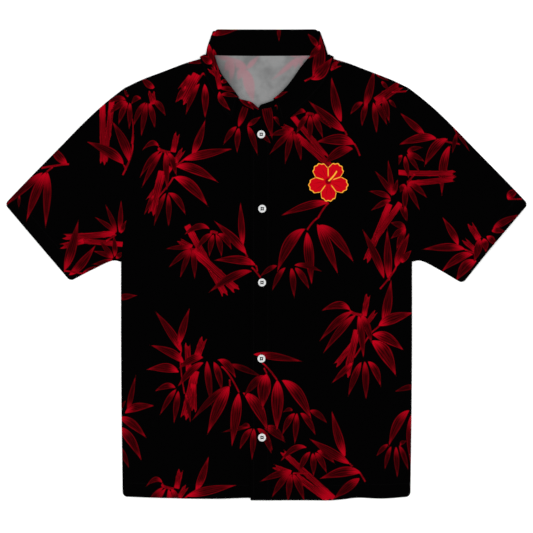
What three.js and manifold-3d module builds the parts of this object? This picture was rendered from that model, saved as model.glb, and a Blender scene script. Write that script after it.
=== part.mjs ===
// A short-sleeved button-through shirt with a turned-down collar, laid flat on its back.
// Millimetres. +Z is up off the surface, +Y runs from hem to neck, +X is to the right as one looks down.
// Right and left in a piece's name are the wearer's, so front_left lies at +X.
// The origin is on the surface, under the middle of the whole outline.

import * as THREE from 'three';
import * as BufferGeometryUtils from 'three/addons/utils/BufferGeometryUtils.js';
import Module from 'manifold-3d';

// Cloth
const WALL = 1.2; // panels, sleeves and collar stand
const STIFF_WALL = 1.5; // the interfaced leaf and placket
const GAP = 0.3; // between two pieces at a seam
const SEAM_GAP = 0.5; // the same, where one of the two stands at a slant
const LAYER_GAP = 0.4; // between a piece and the one that it lies on

// Outline of the body, as half widths and heights from the middle
const HEM_HALF_WIDTH = 241.5;
const CHEST_HALF_WIDTH = 245.5;
const BACK_HEM_Y = -391.5;
const NECK_POINT = [100, 354.6];
const SHOULDER_POINT = [238, 295.4];
const UNDERARM_POINT = [244.4, 5.5];

// Armhole, from the underarm up to the shoulder
const ARMHOLE = [
  { x: 244.4, y: 5.5 },
  { x: 242.4, y: 30 },
  { x: 234.9, y: 78 },
  { x: 227.2, y: 104 },
  { x: 222.2, y: 146 },
  { x: 222.2, y: 205 },
  { x: 225.6, y: 258 },
  { x: 229.6, y: 279 },
  { x: 238, y: 295.4 },
];

// Shoulder line, from the neck point out to the shoulder point
const SHOULDER = [
  { x: 100, y: 354.6 },
  { x: 112, y: 347.6 },
  { x: 176.2, y: 327.0 },
  { x: 207, y: 313.2 },
  { x: 238, y: 295.4 },
];

// Hem of each front, from its inner edge out to the side
const HEM_LEFT = [
  { x: 7.6, y: -399.1 },
  { x: 60, y: -399.1 },
  { x: 108, y: -399 },
  { x: 130, y: -397.4 },
  { x: 153, y: -394.8 },
  { x: 194, y: -396.2 },
  { x: 241.5, y: -392.8 },
];
const HEM_RIGHT = [
  { x: 10, y: -395 },
  { x: -28, y: -395 },
  { x: -90, y: -396.6 },
  { x: -139, y: -396.2 },
  { x: -241.5, y: -392.8 },
];

// Button stand: the wearer's left front laps over the right one
const PLACKET_OUTER_X = -27.8;
const PLACKET_INNER_X = 7.3;
const UNDERLAP_X = 10;
const PLACKET_HEM_Y = -399.1;
const PLACKET_TOP_Y = 263.6;
const LAP_RISE_NEAR = 12; // the left front comes down off the underlap between these two
const LAP_RISE_FAR = 40;

// Sleeve
const CUFF_TOP = [440.9, 103.6];
const CUFF_BOTTOM = [329.4, -27.5];
const SLEEVE_TOP_BULGE = 4.2;
const SLEEVE_UNDER = [
  { x: 244.8, y: 5.5 },
  { x: 258, y: 7.5 },
  { x: 292, y: -7.5 },
  { x: 329.4, y: -27.5 },
];
const SLEEVE_LOFT = 2.6; // air between its two layers at the cuff
const FOLD_ROUNDING = 1; // how far a folded edge is rounded in

// Neck
const NECK_LIFT = 2.2; // the back rises this far over the collar leaf that lies under it
const NECK_LIFT_FROM_Y = 284;
const NECK_LIFT_TO_Y = 338;
const NECK_LIFT_FULL_X = 114;
const NECK_LIFT_NONE_X = 170;
const NECK_LOFT = 1.1; // the front stands off the back by this much more at the neck point
const NECK_LOFT_REACH = 30;

// Collar. The stand runs from its seam with the neckline to the fold, and the leaf from the fold to its edge.
const LEAF_OFFSET = 1.8; // middle of the leaf's wall from the middle of the stand's
const LEAF_UNDER_Z = 0.95; // middle of the leaf's wall where it lies under the back
const CREASE_ANGLES = [90, 54, 18, -18, -54, -90];
const SEAM_CREASE = { x: 99.4, y: 355.6, outX: 0.925, outY: 0.38, radius: 1.35, lowZ: 2.8 };
const FOLD_CREASE = { x: 84.8, y: 393, outX: 0.925, outY: 0.38, radius: 1.75, lowZ: 2.8 };
const EDGE_CREASE = { x: 112.6, y: 348.3, outX: 0.33, outY: 0.944, radius: 2.85, lowZ: 1.0 };

// Stations of the collar on the wearer's right, from the lower end to the side of the neck
const STATIONS_RIGHT = [
  { seam: [-6, 261], fold: [-6, 264.5, 2.2] },
  { seam: [-15, 262], fold: [-14.5, 267.5, 2.3] },
  { seam: [-26, 264.6], fold: [-25.5, 276.8, 2.8] },
  { seam: [-38, 269], fold: [-36.5, 280, 3.9] },
  { seam: [-51, 274.5], fold: [-48.5, 284, 5.0], edge: [-57.5, 240] },
  { seam: [-65, 284], fold: [-58.5, 297.3, 5.8], edge: [-74, 262] },
  { seam: [-77, 297], fold: [-67.6, 309.3, 6.2], edge: [-87, 283] },
  { seam: [-87.5, 313], fold: [-78.7, 323.9, 6.4], edge: [-98, 303] },
  { seam: [-94.5, 331], fold: [-86, 340.5, 6.4], edge: [-105.5, 322] },
  { seam: [-97.8, 345], fold: [-90, 357, 6.3], edge: [-110, 336] },
  { seam: [-99.2, 352], fold: [-88.6, 377, 6.2], edge: [-112.4, 343.5] },
];

// Half of the stations across the back, from the side to the middle
const STATIONS_BACK = [
  { seam: [-92, 355.7], fold: [-81.5, 396.2, 2.8], edge: [-103, 345.8] },
  { seam: [-80, 355.9], fold: [-75, 397.2, 2.8], edge: [-90, 346.8] },
  { seam: [-42, 355.7], fold: [-40, 397.3, 2.8], edge: [-44, 348] },
];
const STATION_MIDDLE = { seam: [0, 355.5], fold: [0, 397.3, 2.8], edge: [0, 348.3] };

// Stations on the wearer's left, from the side of the neck to the upper end
const STATIONS_LEFT = [
  { seam: [99.2, 352], fold: [85, 377, 6.2], edge: [112.4, 343.5] },
  { seam: [97, 344], fold: [76.8, 357, 6.3], edge: [110, 336] },
  { seam: [91, 331], fold: [67.5, 345.5, 6.5], edge: [106, 325] },
  { seam: [81, 317], fold: [57.9, 333.7, 6.5], edge: [99, 312] },
  { seam: [67, 302.5], fold: [48, 319.5, 6.4], edge: [88, 297] },
  { seam: [50, 289], fold: [37.3, 305, 6.3], edge: [71, 279] },
  { seam: [32, 277.5], fold: [24.5, 291.5, 6.2], edge: [48, 257.5] },
  { seam: [16, 270.3], fold: [11.8, 280.9, 6.1], edge: [22.4, 234.5] },
  { seam: [7.45, 267.8], fold: [4.5, 277.5, 5.4] },
  { seam: [-4, 265.8], fold: [-4.5, 274.5, 4.6] },
  { seam: [-11, 264.8], fold: [-10.5, 272.3, 4.1] },
  { seam: [-14.8, 264.4], fold: [-14.5, 267, 3.9] },
];

// Soft creases in the upper layer: where each starts and ends, its half width and its height
const CREASES = [
  { x0: 228, y0: 16, x1: 112, y1: 104, width: 19, height: 3.4 },
  { x0: 214, y0: 142, x1: 136, y1: 208, width: 17, height: 2.4 },
  { x0: 156, y0: 308, x1: 122, y1: 190, width: 18, height: 1.7 },
  { x0: 206, y0: -50, x1: 148, y1: -262, width: 25, height: 2.6 },
  { x0: 108, y0: -470, x1: 92, y1: -226, width: 22, height: 3.0 },
  { x0: 226, y0: -196, x1: 192, y1: -352, width: 17, height: 1.9 },
  { x0: 66, y0: 84, x1: 84, y1: -128, width: 22, height: 1.7 },
  { x0: -226, y0: 22, x1: -96, y1: 88, width: 18, height: 2.9 },
  { x0: -212, y0: 166, x1: -146, y1: 238, width: 16, height: 2.1 },
  { x0: -92, y0: 206, x1: -112, y1: 44, width: 21, height: 1.8 },
  { x0: -178, y0: -30, x1: -118, y1: -240, width: 26, height: 2.3 },
  { x0: -62, y0: -466, x1: -90, y1: -236, width: 21, height: 2.8 },
  { x0: -190, y0: -468, x1: -202, y1: -268, width: 18, height: 2.2 },
  { x0: 262, y0: 34, x1: 348, y1: 108, width: 15, height: 2.2 },
  { x0: 286, y0: 214, x1: 352, y1: 116, width: 17, height: 1.9 },
  { x0: 236, y0: 196, x1: 300, y1: 128, width: 15, height: 1.5 },
  { x0: -266, y0: 28, x1: -340, y1: 84, width: 15, height: 2.4 },
  { x0: -272, y0: 222, x1: -346, y1: 138, width: 18, height: 1.7 },
  { x0: -240, y0: 150, x1: -296, y1: 82, width: 15, height: 1.6 },
];
const FLAT_BAND_X = -10; // creases die away towards the button stand
const FLAT_BAND_HALF_WIDTH = 48;
const FLAT_COLLAR_Y = 236; // and towards the collar
const FLAT_COLLAR_HALF_WIDTH = 118;

// Buttons
const BUTTON_RADIUS = 7.1;
const BUTTON_THICKNESS = 2.6;
const BUTTON_DISH_RADIUS = 4.5;
const BUTTON_DISH_DEPTH = 0.8;
const BUTTON_HOLE_RADIUS = 0.85;
const BUTTON_HOLE_SPACING = 3.1;
const BUTTON_SIDES = 20;
const BUTTONS = [
  { name: 'button_1', x: -9.6, y: 222.1 },
  { name: 'button_2', x: -7.9, y: 95.6 },
  { name: 'button_3', x: -8.2, y: -29.8 },
  { name: 'button_4', x: -9.2, y: -159.2 },
  { name: 'button_5', x: -8.2, y: -293.3 },
];

const BLACK_CLOTH = { color: 0x0d0a0b, roughness: 0.86, metalness: 0 };
const PEARL_WHITE = { color: 0xe9e9e6, roughness: 0.32, metalness: 0 };

// Small helpers

const lerp = (a, b, t) => a + (b - a) * t;

const mix = (p, q, t) => p.map((value, axis) => lerp(value, q[axis], t));

const smoothstep = (from, to, value) => {
  const t = Math.min(1, Math.max(0, (value - from) / (to - from)));
  return t * t * (3 - 2 * t);
};

const spaced = (count) => Array.from({ length: count + 1 }, (_, i) => i / count);

// A smooth curve through table rows, as a function of 0 to 1
function curveThrough(rows) {
  const points = rows.map((row) => new THREE.Vector3(row.x, row.y, 0));
  const curve = new THREE.CatmullRomCurve3(points, false, 'centripetal');
  return (t) => {
    const point = curve.getPointAt(t);
    return [point.x, point.y];
  };
}

// Two curves end to end, the first up to the share where they meet
const joined = (first, second, share) => (t) =>
  t < share ? first(t / share) : second((t - share) / (1 - share));

const mirrored = (curve) => (t) => {
  const [x, y] = curve(t);
  return [-x, y];
};

const straight = (from, to) => (t) => mix(from, to, t);

// A patch that fills four boundary curves: hem and top run across, inner and outer run up
function patch(bottom, top, inner, outer) {
  const corners = [bottom(0), bottom(1), top(0), top(1)];
  return (u, v) => [0, 1].map((axis) =>
    lerp(bottom(u)[axis], top(u)[axis], v)
    + lerp(inner(v)[axis], outer(v)[axis], u)
    - lerp(lerp(corners[0][axis], corners[1][axis], u), lerp(corners[2][axis], corners[3][axis], u), v));
}

// Heights of the layers

const neckLift = (x, y) =>
  NECK_LIFT * smoothstep(NECK_LIFT_FROM_Y, NECK_LIFT_TO_Y, y)
  * (1 - smoothstep(NECK_LIFT_FULL_X, NECK_LIFT_NONE_X, Math.abs(x)));

const neckLoft = (x, y) => {
  const reach = Math.hypot(Math.abs(x) - NECK_POINT[0], y - NECK_POINT[1]) / NECK_LOFT_REACH;
  return NECK_LOFT * Math.exp(-reach * reach);
};

// One crease: a soft ridge that fades out at both ends
function creaseHeight(crease, x, y) {
  const alongX = crease.x1 - crease.x0;
  const alongY = crease.y1 - crease.y0;
  const length = Math.hypot(alongX, alongY);
  const along = ((x - crease.x0) * alongX + (y - crease.y0) * alongY) / (length * length);
  if (along <= 0 || along >= 1) return 0;
  const across = ((x - crease.x0) * alongY - (y - crease.y0) * alongX) / length / crease.width;
  return crease.height * Math.sin(Math.PI * along) ** 1.5 * Math.exp(-across * across);
}

function relief(x, y) {
  const bandX = (x - FLAT_BAND_X) / FLAT_BAND_HALF_WIDTH;
  const offBand = 1 - Math.exp(-(bandX ** 4));
  const nearCollar = smoothstep(FLAT_COLLAR_Y - 40, FLAT_COLLAR_Y, y)
    * (1 - smoothstep(FLAT_COLLAR_HALF_WIDTH, FLAT_COLLAR_HALF_WIDTH + 30, Math.abs(x)));
  const sum = CREASES.reduce((total, crease) => total + creaseHeight(crease, x, y), 0);
  return sum * offBand * (1 - nearCollar);
}

const backBottom = (x, y) => neckLift(x, y);

const upperBottom = (x, y) => backBottom(x, y) + WALL + LAYER_GAP + neckLoft(x, y) + relief(x, y);

// The wearer's left front rides over the underlap beside the button stand
const lapBottom = (x, y) =>
  upperBottom(x, y) + (WALL + LAYER_GAP) * (1 - smoothstep(LAP_RISE_NEAR, LAP_RISE_FAR, x));


// Closed walls

// The triangles of a closed body are turned as one, so that they face out
function closedMesh(name, positions, indices, look) {
  let volume = 0;
  const corner = (i) => new THREE.Vector3(...positions[i]);
  for (let i = 0; i < indices.length; i += 3) {
    const [a, b, c] = [corner(indices[i]), corner(indices[i + 1]), corner(indices[i + 2])];
    volume += a.dot(b.cross(c)) / 6;
  }
  const facing = volume > 0 ? indices : indices.slice().reverse();
  const geometry = new THREE.BufferGeometry();
  geometry.setAttribute('position', new THREE.Float32BufferAttribute(positions.flat(), 3));
  geometry.setIndex(facing);
  geometry.computeVertexNormals();
  const mesh = new THREE.Mesh(geometry, new THREE.MeshStandardMaterial(look));
  mesh.name = name;
  return mesh;
}

// A wall between two grids of the same size, closed along its rim
function wallBetween(name, upper, lower, look) {
  const rows = upper.length;
  const columns = upper[0].length;
  const positions = [...upper.flat(), ...lower.flat()];
  const top = (i, j) => i * columns + j;
  const under = (i, j) => rows * columns + i * columns + j;
  const indices = [];
  const quad = (a, b, c, d) => indices.push(a, b, c, a, c, d);
  for (let i = 0; i < rows - 1; i += 1) {
    for (let j = 0; j < columns - 1; j += 1) {
      quad(top(i, j), top(i, j + 1), top(i + 1, j + 1), top(i + 1, j));
      quad(under(i, j), under(i + 1, j), under(i + 1, j + 1), under(i, j + 1));
    }
    quad(top(i, 0), top(i + 1, 0), under(i + 1, 0), under(i, 0));
    quad(top(i + 1, columns - 1), top(i, columns - 1), under(i, columns - 1), under(i + 1, columns - 1));
  }
  for (let j = 0; j < columns - 1; j += 1) {
    quad(top(0, j + 1), top(0, j), under(0, j), under(0, j + 1));
    quad(top(rows - 1, j), top(rows - 1, j + 1), under(rows - 1, j + 1), under(rows - 1, j));
  }
  return closedMesh(name, positions, indices, look);
}

// A panel that lies flat: a patch in plan, with its wall on a height function
function panel(name, plan, across, up, bottom, wall) {
  const grid = (rise) => up.map((v) => across.map((u) => {
    const [x, y] = plan(u, v);
    return [x, y, bottom(x, y) + rise];
  }));
  return wallBetween(name, grid(wall), grid(0), BLACK_CLOTH);
}

// Body panels

const UNDERARM_SHARE = 0.56; // where the side ends and the armhole starts, of the way up a panel

const sideAndArmhole = (hemPoint) => {
  const side = (t) => {
    const [x, y] = mix(hemPoint, UNDERARM_POINT, t);
    return [x + (CHEST_HALF_WIDTH - UNDERARM_POINT[0]) * Math.sin(Math.PI * t), y];
  };
  return joined(side, curveThrough(ARMHOLE), UNDERARM_SHARE);
};

// Rows up a panel, closer together from the chest to the neck
const ARMHOLE_STEPS = 14;
const PANEL_ROWS = [...spaced(13).map((t) => t * UNDERARM_SHARE),
  ...spaced(ARMHOLE_STEPS).slice(1).map((t) => lerp(UNDERARM_SHARE, 1, t))];

function buildBack() {
  const neckShare = NECK_POINT[0] / SHOULDER_POINT[0];
  const neckline = curveThrough([
    { x: 0, y: STATION_MIDDLE.seam[1] - GAP },
    ...STATIONS_BACK.toReversed().map(({ seam }) => ({ x: -seam[0], y: seam[1] - GAP })),
    { x: NECK_POINT[0], y: NECK_POINT[1] },
  ]);
  const halfTop = joined(neckline, curveThrough(SHOULDER), neckShare);
  const halfHem = straight([0, BACK_HEM_Y - 1.5], [HEM_HALF_WIDTH, BACK_HEM_Y]);
  const both = (half) => (u) => (u < 0.5 ? mirrored(half)(1 - 2 * u) : half(2 * u - 1));
  const outer = sideAndArmhole([HEM_HALF_WIDTH, BACK_HEM_Y]);
  const plan = patch(both(halfHem), both(halfTop), mirrored(outer), outer);
  const halfColumns = [...spaced(4).map((t) => t * neckShare),
    ...spaced(5).slice(1).map((t) => lerp(neckShare, 1, t))];
  const across = [...halfColumns.toReversed().map((t) => (1 - t) / 2),
    ...halfColumns.slice(1).map((t) => (1 + t) / 2)];
  return panel('back', plan, across, PANEL_ROWS, backBottom, WALL);
}

// Straight runs between points, each run an equal share
const throughPoints = (points) => (t) => {
  const place = Math.min(t * (points.length - 1), points.length - 1 - 1e-9);
  const run = Math.floor(place);
  return mix(points[run], points[run + 1], place - run);
};

// The points of a front's neckline, just outside the seam of the collar stand
function frontNeckline(stations, start, side) {
  const seam = stations.map((station) => station.seam);
  const outside = seam.map(([x, y], i) => {
    const [x0, y0] = seam[Math.max(i - 1, 0)];
    const [x1, y1] = seam[Math.min(i + 1, seam.length - 1)];
    const length = Math.hypot(x1 - x0, y1 - y0);
    return [x + side * SEAM_GAP * (y1 - y0) / length, y - side * SEAM_GAP * (x1 - x0) / length];
  });
  return [start, ...outside, [side * NECK_POINT[0], NECK_POINT[1]]];
}

// Columns across a front: one at each point of its neckline, then evenly along the shoulder
const FRONT_NECK_SHARE = 0.46;
const frontColumns = (neckline) => [...spaced(neckline.length - 1).map((t) => t * FRONT_NECK_SHARE),
  ...spaced(6).slice(1).map((t) => lerp(FRONT_NECK_SHARE, 1, t))];

function buildFrontLeft() {
  const innerX = PLACKET_INNER_X + GAP;
  const stations = STATIONS_LEFT.filter(({ seam }) => seam[0] > innerX).toReversed();
  const neckStart = [innerX, 267.3];
  const neckline = frontNeckline(stations, neckStart, 1);
  const top = joined(throughPoints(neckline), curveThrough(SHOULDER), FRONT_NECK_SHARE);
  const inner = straight([innerX, PLACKET_HEM_Y], neckStart);
  const outer = sideAndArmhole([HEM_HALF_WIDTH, HEM_LEFT.at(-1).y]);
  const plan = patch(curveThrough(HEM_LEFT), top, inner, outer);
  return panel('front_left', plan, frontColumns(neckline), PANEL_ROWS, lapBottom, WALL);
}

function buildFrontRight() {
  const neckStart = [UNDERLAP_X, 259.4];
  const neckline = frontNeckline(STATIONS_RIGHT, neckStart, -1);
  const top = joined(throughPoints(neckline), mirrored(curveThrough(SHOULDER)), FRONT_NECK_SHARE);
  const inner = straight([UNDERLAP_X, HEM_RIGHT[0].y], neckStart);
  const outer = mirrored(sideAndArmhole([HEM_HALF_WIDTH, HEM_RIGHT.at(-1).y]));
  const plan = patch(curveThrough(HEM_RIGHT), top, inner, outer);
  return panel('front_right', plan, frontColumns(neckline), PANEL_ROWS, upperBottom, WALL);
}

function buildPlacket() {
  const hem = straight([PLACKET_OUTER_X, PLACKET_HEM_Y], [PLACKET_INNER_X, PLACKET_HEM_Y]);
  const top = curveThrough([
    { x: PLACKET_OUTER_X, y: PLACKET_TOP_Y },
    { x: -15, y: PLACKET_TOP_Y + 0.3 },
    { x: PLACKET_INNER_X, y: 267.3 },
  ]);
  const plan = patch(hem, top, straight(hem(0), top(0)), straight(hem(1), top(1)));
  const bottom = (x, y) => upperBottom(x, y) + WALL + LAYER_GAP;
  return panel('placket', plan, spaced(3), spaced(26), bottom, STIFF_WALL);
}

// Sleeve: a flattened tube, open at the armhole and the cuff
function buildSleeve(name, side) {
  const across = spaced(ARMHOLE_STEPS);
  const along = spaced(10);
  const armhole = curveThrough(ARMHOLE.map(({ x, y }) => ({ x: x + SEAM_GAP, y })).toReversed());
  const cuff = straight(CUFF_TOP, CUFF_BOTTOM);
  const topEdge = (t) => {
    const [x, y] = mix([SHOULDER_POINT[0] + SEAM_GAP, SHOULDER_POINT[1]], CUFF_TOP, t);
    const bulge = 4 * t * (1 - t) * SLEEVE_TOP_BULGE * Math.SQRT1_2;
    return [x + bulge, y + bulge];
  };
  const plan = patch(topEdge, curveThrough(SLEEVE_UNDER), armhole, cuff);
  const loft = (u, v) => SLEEVE_LOFT * Math.sin(Math.PI * v) * smoothstep(0.1, 0.9, u);
  const inward = (u, v) => {
    const [x0, y0] = plan(u, 0);
    const [x1, y1] = plan(u, 1);
    const length = Math.hypot(x1 - x0, y1 - y0);
    return [(x1 - x0) / length, (y1 - y0) / length].map((part) => part * (v < 0.5 ? 1 : -1));
  };
  // One ring of points round the section at u: over the top, round the lower fold, back underneath
  const ring = (u, inset) => {
    const place = (v, z, push) => {
      const [x, y] = plan(u, v);
      const [inX, inY] = inward(u, v);
      return [side * (x + inX * push), y + inY * push, z];
    };
    const height = (v) => {
      const [x, y] = plan(u, v);
      return WALL + LAYER_GAP + relief(side * x, y) + loft(u, v) + WALL;
    };
    const push = (v) => (v === 0 || v === 1 ? FOLD_ROUNDING + 0.9 * inset : 0);
    const over = across.map((v) => place(v, height(v) - inset, push(v)));
    const fold = (v) => place(v, height(v) / 2, inset);
    const below = across.toReversed().map((v) => place(v, inset, push(v)));
    return [...over, fold(1), ...below, fold(0)];
  };
  const outer = along.map((u) => ring(u, 0));
  const inner = along.map((u) => ring(u, WALL));
  return tubeBetween(name, outer, inner);
}

// A tube wall between two stacks of closed rings, closed at both ends
function tubeBetween(name, outer, inner) {
  const rows = outer.length;
  const columns = outer[0].length;
  const positions = [...outer.flat(), ...inner.flat()];
  const out = (i, j) => i * columns + (j % columns);
  const within = (i, j) => rows * columns + i * columns + (j % columns);
  const indices = [];
  const quad = (a, b, c, d) => indices.push(a, b, c, a, c, d);
  for (let j = 0; j < columns; j += 1) {
    for (let i = 0; i < rows - 1; i += 1) {
      quad(out(i, j), out(i, j + 1), out(i + 1, j + 1), out(i + 1, j));
      quad(within(i, j), within(i + 1, j), within(i + 1, j + 1), within(i, j + 1));
    }
    quad(out(0, j + 1), out(0, j), within(0, j), within(0, j + 1));
    quad(out(rows - 1, j), out(rows - 1, j + 1), within(rows - 1, j + 1), within(rows - 1, j));
  }
  return closedMesh(name, positions, indices, BLACK_CLOTH);
}

// Collar

// The stations round the side of the neck, where the collar turns over from the back to the front
function creaseStations(side) {
  return CREASE_ANGLES.map((angle) => {
    const turn = THREE.MathUtils.degToRad(angle);
    const at = (crease) => [
      side * (crease.x + crease.outX * crease.radius * Math.cos(turn)),
      crease.y + crease.outY * crease.radius * Math.cos(turn),
      crease.lowZ + crease.radius * (1 + Math.sin(turn)),
    ];
    return { seam: at(SEAM_CREASE), fold: at(FOLD_CREASE), edge: at(EDGE_CREASE) };
  });
}

function collarStations() {
  const onFront = (bottom) => ({ seam: [x, y], fold, edge }) => ({
    seam: [x, y, bottom(x, y) + WALL / 2],
    fold,
    edge: edge && [...edge, bottom(...edge) + WALL + LAYER_GAP + STIFF_WALL / 2],
  });
  const behind = ({ seam: [x, y], fold, edge }) => ({
    seam: [x, y, backBottom(x, y) + WALL / 2],
    fold,
    edge: [...edge, LEAF_UNDER_Z],
  });
  const across = ({ seam, fold, edge }) => ({
    seam: [-seam[0], seam[1]],
    fold: [-fold[0], fold[1], fold[2]],
    edge: [-edge[0], edge[1]],
  });
  return [
    ...STATIONS_RIGHT.map(onFront(upperBottom)),
    ...creaseStations(-1),
    ...[...STATIONS_BACK, STATION_MIDDLE, ...STATIONS_BACK.map(across).toReversed()].map(behind),
    ...creaseStations(1).toReversed(),
    ...STATIONS_LEFT.map(onFront(lapBottom)),
  ];
}

// A wall of even thickness on both sides of a grid of points
function wallAbout(name, grid, wall) {
  const rows = grid.length;
  const columns = grid[0].length;
  const at = (i, j) => new THREE.Vector3(...grid[i][j]);
  const normal = (i, j) => {
    const along = at(Math.min(i + 1, rows - 1), j).sub(at(Math.max(i - 1, 0), j));
    const across = at(i, Math.min(j + 1, columns - 1)).sub(at(i, Math.max(j - 1, 0)));
    return along.cross(across).normalize();
  };
  const shifted = (rise) => grid.map((row, i) => row.map((_, j) =>
    at(i, j).addScaledVector(normal(i, j), rise).toArray()));
  return wallBetween(name, shifted(wall / 2), shifted(-wall / 2), BLACK_CLOTH);
}

const STAND_STEPS = spaced(3);

const standGrid = (stations) => stations.map(({ seam, fold }) => STAND_STEPS.map((t) => mix(seam, fold, t)));

// The unit normal of the stand that points away from the neck, at one end of a station
function outwardOfStand(stations, i, end) {
  const before = stations[Math.max(i - 1, 0)];
  const after = stations[Math.min(i + 1, stations.length - 1)];
  const along = new THREE.Vector3(...after[end]).sub(new THREE.Vector3(...before[end]));
  const up = new THREE.Vector3(...stations[i].fold).sub(new THREE.Vector3(...stations[i].seam));
  return up.cross(along).normalize();
}

// The leaf's section: over the top of the stand, down outside it, and on to the free edge
function leafSection(stations, i) {
  const { seam, fold, edge } = stations[i];
  const top = new THREE.Vector3(...fold);
  const foot = new THREE.Vector3(...seam);
  const before = new THREE.Vector3(...stations[i - 1].fold);
  const along = new THREE.Vector3(...stations[i + 1].fold).sub(before).normalize();
  const slant = top.clone().sub(foot);
  const up = slant.addScaledVector(along, -slant.dot(along)).normalize();
  const outAtFold = outwardOfStand(stations, i, 'fold');
  const outAtSeam = outwardOfStand(stations, i, 'seam');
  const fromFold = (rise, out) => top.clone().addScaledVector(up, rise).addScaledVector(outAtFold, out);
  const overSeam = foot.clone().addScaledVector(outAtSeam, LEAF_OFFSET);
  const freeEdge = new THREE.Vector3(...edge);
  const halfWay = fromFold(-2.6, LEAF_OFFSET).lerp(overSeam, 0.5);
  return [
    fromFold(1.1, -0.6),
    fromFold(1.1, 0.6),
    fromFold(0.4, 1.6),
    fromFold(-2.6, LEAF_OFFSET),
    halfWay,
    overSeam,
    overSeam.clone().lerp(freeEdge, 1 / 3),
    overSeam.clone().lerp(freeEdge, 2 / 3),
    freeEdge,
  ].map((point) => point.toArray());
}

function buildCollar() {
  const stations = collarStations();
  const leafRows = stations.map((station, i) => (station.edge ? leafSection(stations, i) : null));
  return [
    wallAbout('collar_stand', standGrid(stations), WALL),
    wallAbout('collar_leaf', leafRows.filter(Boolean), STIFF_WALL),
  ];
}

// Buttons

const wasm = await Module();
wasm.setup();

function toSolid(geometry) {
  const plain = geometry.clone();
  plain.deleteAttribute('normal');
  plain.deleteAttribute('uv');
  const merged = BufferGeometryUtils.mergeVertices(plain, 1e-4);
  return new wasm.Manifold(new wasm.Mesh({
    numProp: 3,
    vertProperties: new Float32Array(merged.attributes.position.array),
    triVerts: new Uint32Array(merged.index.array),
  }));
}

function buttonGeometry() {
  const rim = 0.5; // rounding of the edge
  const profile = [
    [0, 0],
    [BUTTON_RADIUS - rim, 0],
    [BUTTON_RADIUS, rim],
    [BUTTON_RADIUS, BUTTON_THICKNESS - 2 * rim],
    [BUTTON_RADIUS - 2 * rim, BUTTON_THICKNESS],
    [BUTTON_DISH_RADIUS, BUTTON_THICKNESS],
    [BUTTON_DISH_RADIUS - rim, BUTTON_THICKNESS - BUTTON_DISH_DEPTH],
    [0, BUTTON_THICKNESS - BUTTON_DISH_DEPTH],
  ].map(([radius, height]) => new THREE.Vector2(radius, height));
  const disc = new THREE.LatheGeometry(profile, BUTTON_SIDES).rotateX(Math.PI / 2);
  let solid = toSolid(disc);
  for (const [signX, signY] of [[1, 1], [-1, 1], [-1, -1], [1, -1]]) {
    const hole = new THREE.CylinderGeometry(BUTTON_HOLE_RADIUS, BUTTON_HOLE_RADIUS, 3 * BUTTON_THICKNESS, 8)
      .rotateX(Math.PI / 2)
      .translate(signX * BUTTON_HOLE_SPACING / 2, signY * BUTTON_HOLE_SPACING / 2, 0);
    solid = solid.subtract(toSolid(hole));
  }
  const { vertProperties, triVerts } = solid.getMesh();
  const geometry = new THREE.BufferGeometry();
  geometry.setAttribute('position', new THREE.BufferAttribute(vertProperties, 3));
  geometry.setIndex(new THREE.BufferAttribute(triVerts, 1));
  geometry.computeVertexNormals();
  return geometry;
}

function buildButtons() {
  const geometry = buttonGeometry();
  return BUTTONS.map(({ name, x, y }) => {
    const mesh = new THREE.Mesh(geometry, new THREE.MeshStandardMaterial(PEARL_WHITE));
    const placketTop = upperBottom(x, y) + WALL + LAYER_GAP + STIFF_WALL;
    mesh.position.set(x, y, placketTop + GAP);
    mesh.name = name;
    return mesh;
  });
}

const shirt = new THREE.Group();
shirt.add(
  buildBack(),
  buildFrontRight(),
  buildFrontLeft(),
  buildPlacket(),
  buildSleeve('sleeve_right', -1),
  buildSleeve('sleeve_left', 1),
  ...buildCollar(),
  ...buildButtons(),
);

export default shirt;
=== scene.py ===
# %% [markdown]
# # A hawaiian shirt, laid flat
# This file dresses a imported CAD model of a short-sleeved shirt. The CAD pieces are stiff walls with few faces.
# Here each cut piece of cloth gets a fine shell of its own on the same form, with creases, hems, stitches and
# a bamboo print. Lengths are in millimetres while shapes are worked out, and in metres once they are meshes.

import math

import bpy
import numpy as np
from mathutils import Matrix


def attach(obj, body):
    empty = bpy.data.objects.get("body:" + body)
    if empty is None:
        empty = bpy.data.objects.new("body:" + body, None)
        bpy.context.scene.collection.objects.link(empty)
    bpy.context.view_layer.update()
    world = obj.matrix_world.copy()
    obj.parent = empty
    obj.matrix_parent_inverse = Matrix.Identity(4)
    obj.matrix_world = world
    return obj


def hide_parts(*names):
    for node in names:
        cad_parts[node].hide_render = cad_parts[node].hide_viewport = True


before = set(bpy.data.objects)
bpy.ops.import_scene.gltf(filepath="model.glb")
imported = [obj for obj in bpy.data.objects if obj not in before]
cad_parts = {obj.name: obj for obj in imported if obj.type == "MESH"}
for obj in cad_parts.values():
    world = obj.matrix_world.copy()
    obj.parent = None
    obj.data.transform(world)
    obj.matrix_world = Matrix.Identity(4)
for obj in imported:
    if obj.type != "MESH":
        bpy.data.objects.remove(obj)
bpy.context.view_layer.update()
MM = 0.001

# %% [markdown]
# ## Curves
# A pattern cutter draws a garment with a few points and a bent ruler. A Catmull-Rom curve does the same: it
# passes through every point and stays smooth between them. Two kinds are used. One runs evenly by length, for
# outlines. The other gives every pair of points an equal share, for the rows of points along the collar.


# %% Smooth curves through rows of points
def smoothstep(start, stop, value):
    """0 up to start, 1 from stop on, and 3t^2 - 2t^3 of the share t between them."""
    t = np.clip((value - start) / (stop - start), 0, 1)
    return t * t * (3 - 2 * t)


def unit(vectors):
    """Vectors of length one."""
    return vectors / np.maximum(np.linalg.norm(vectors, axis=-1, keepdims=True), 1e-9)


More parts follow.
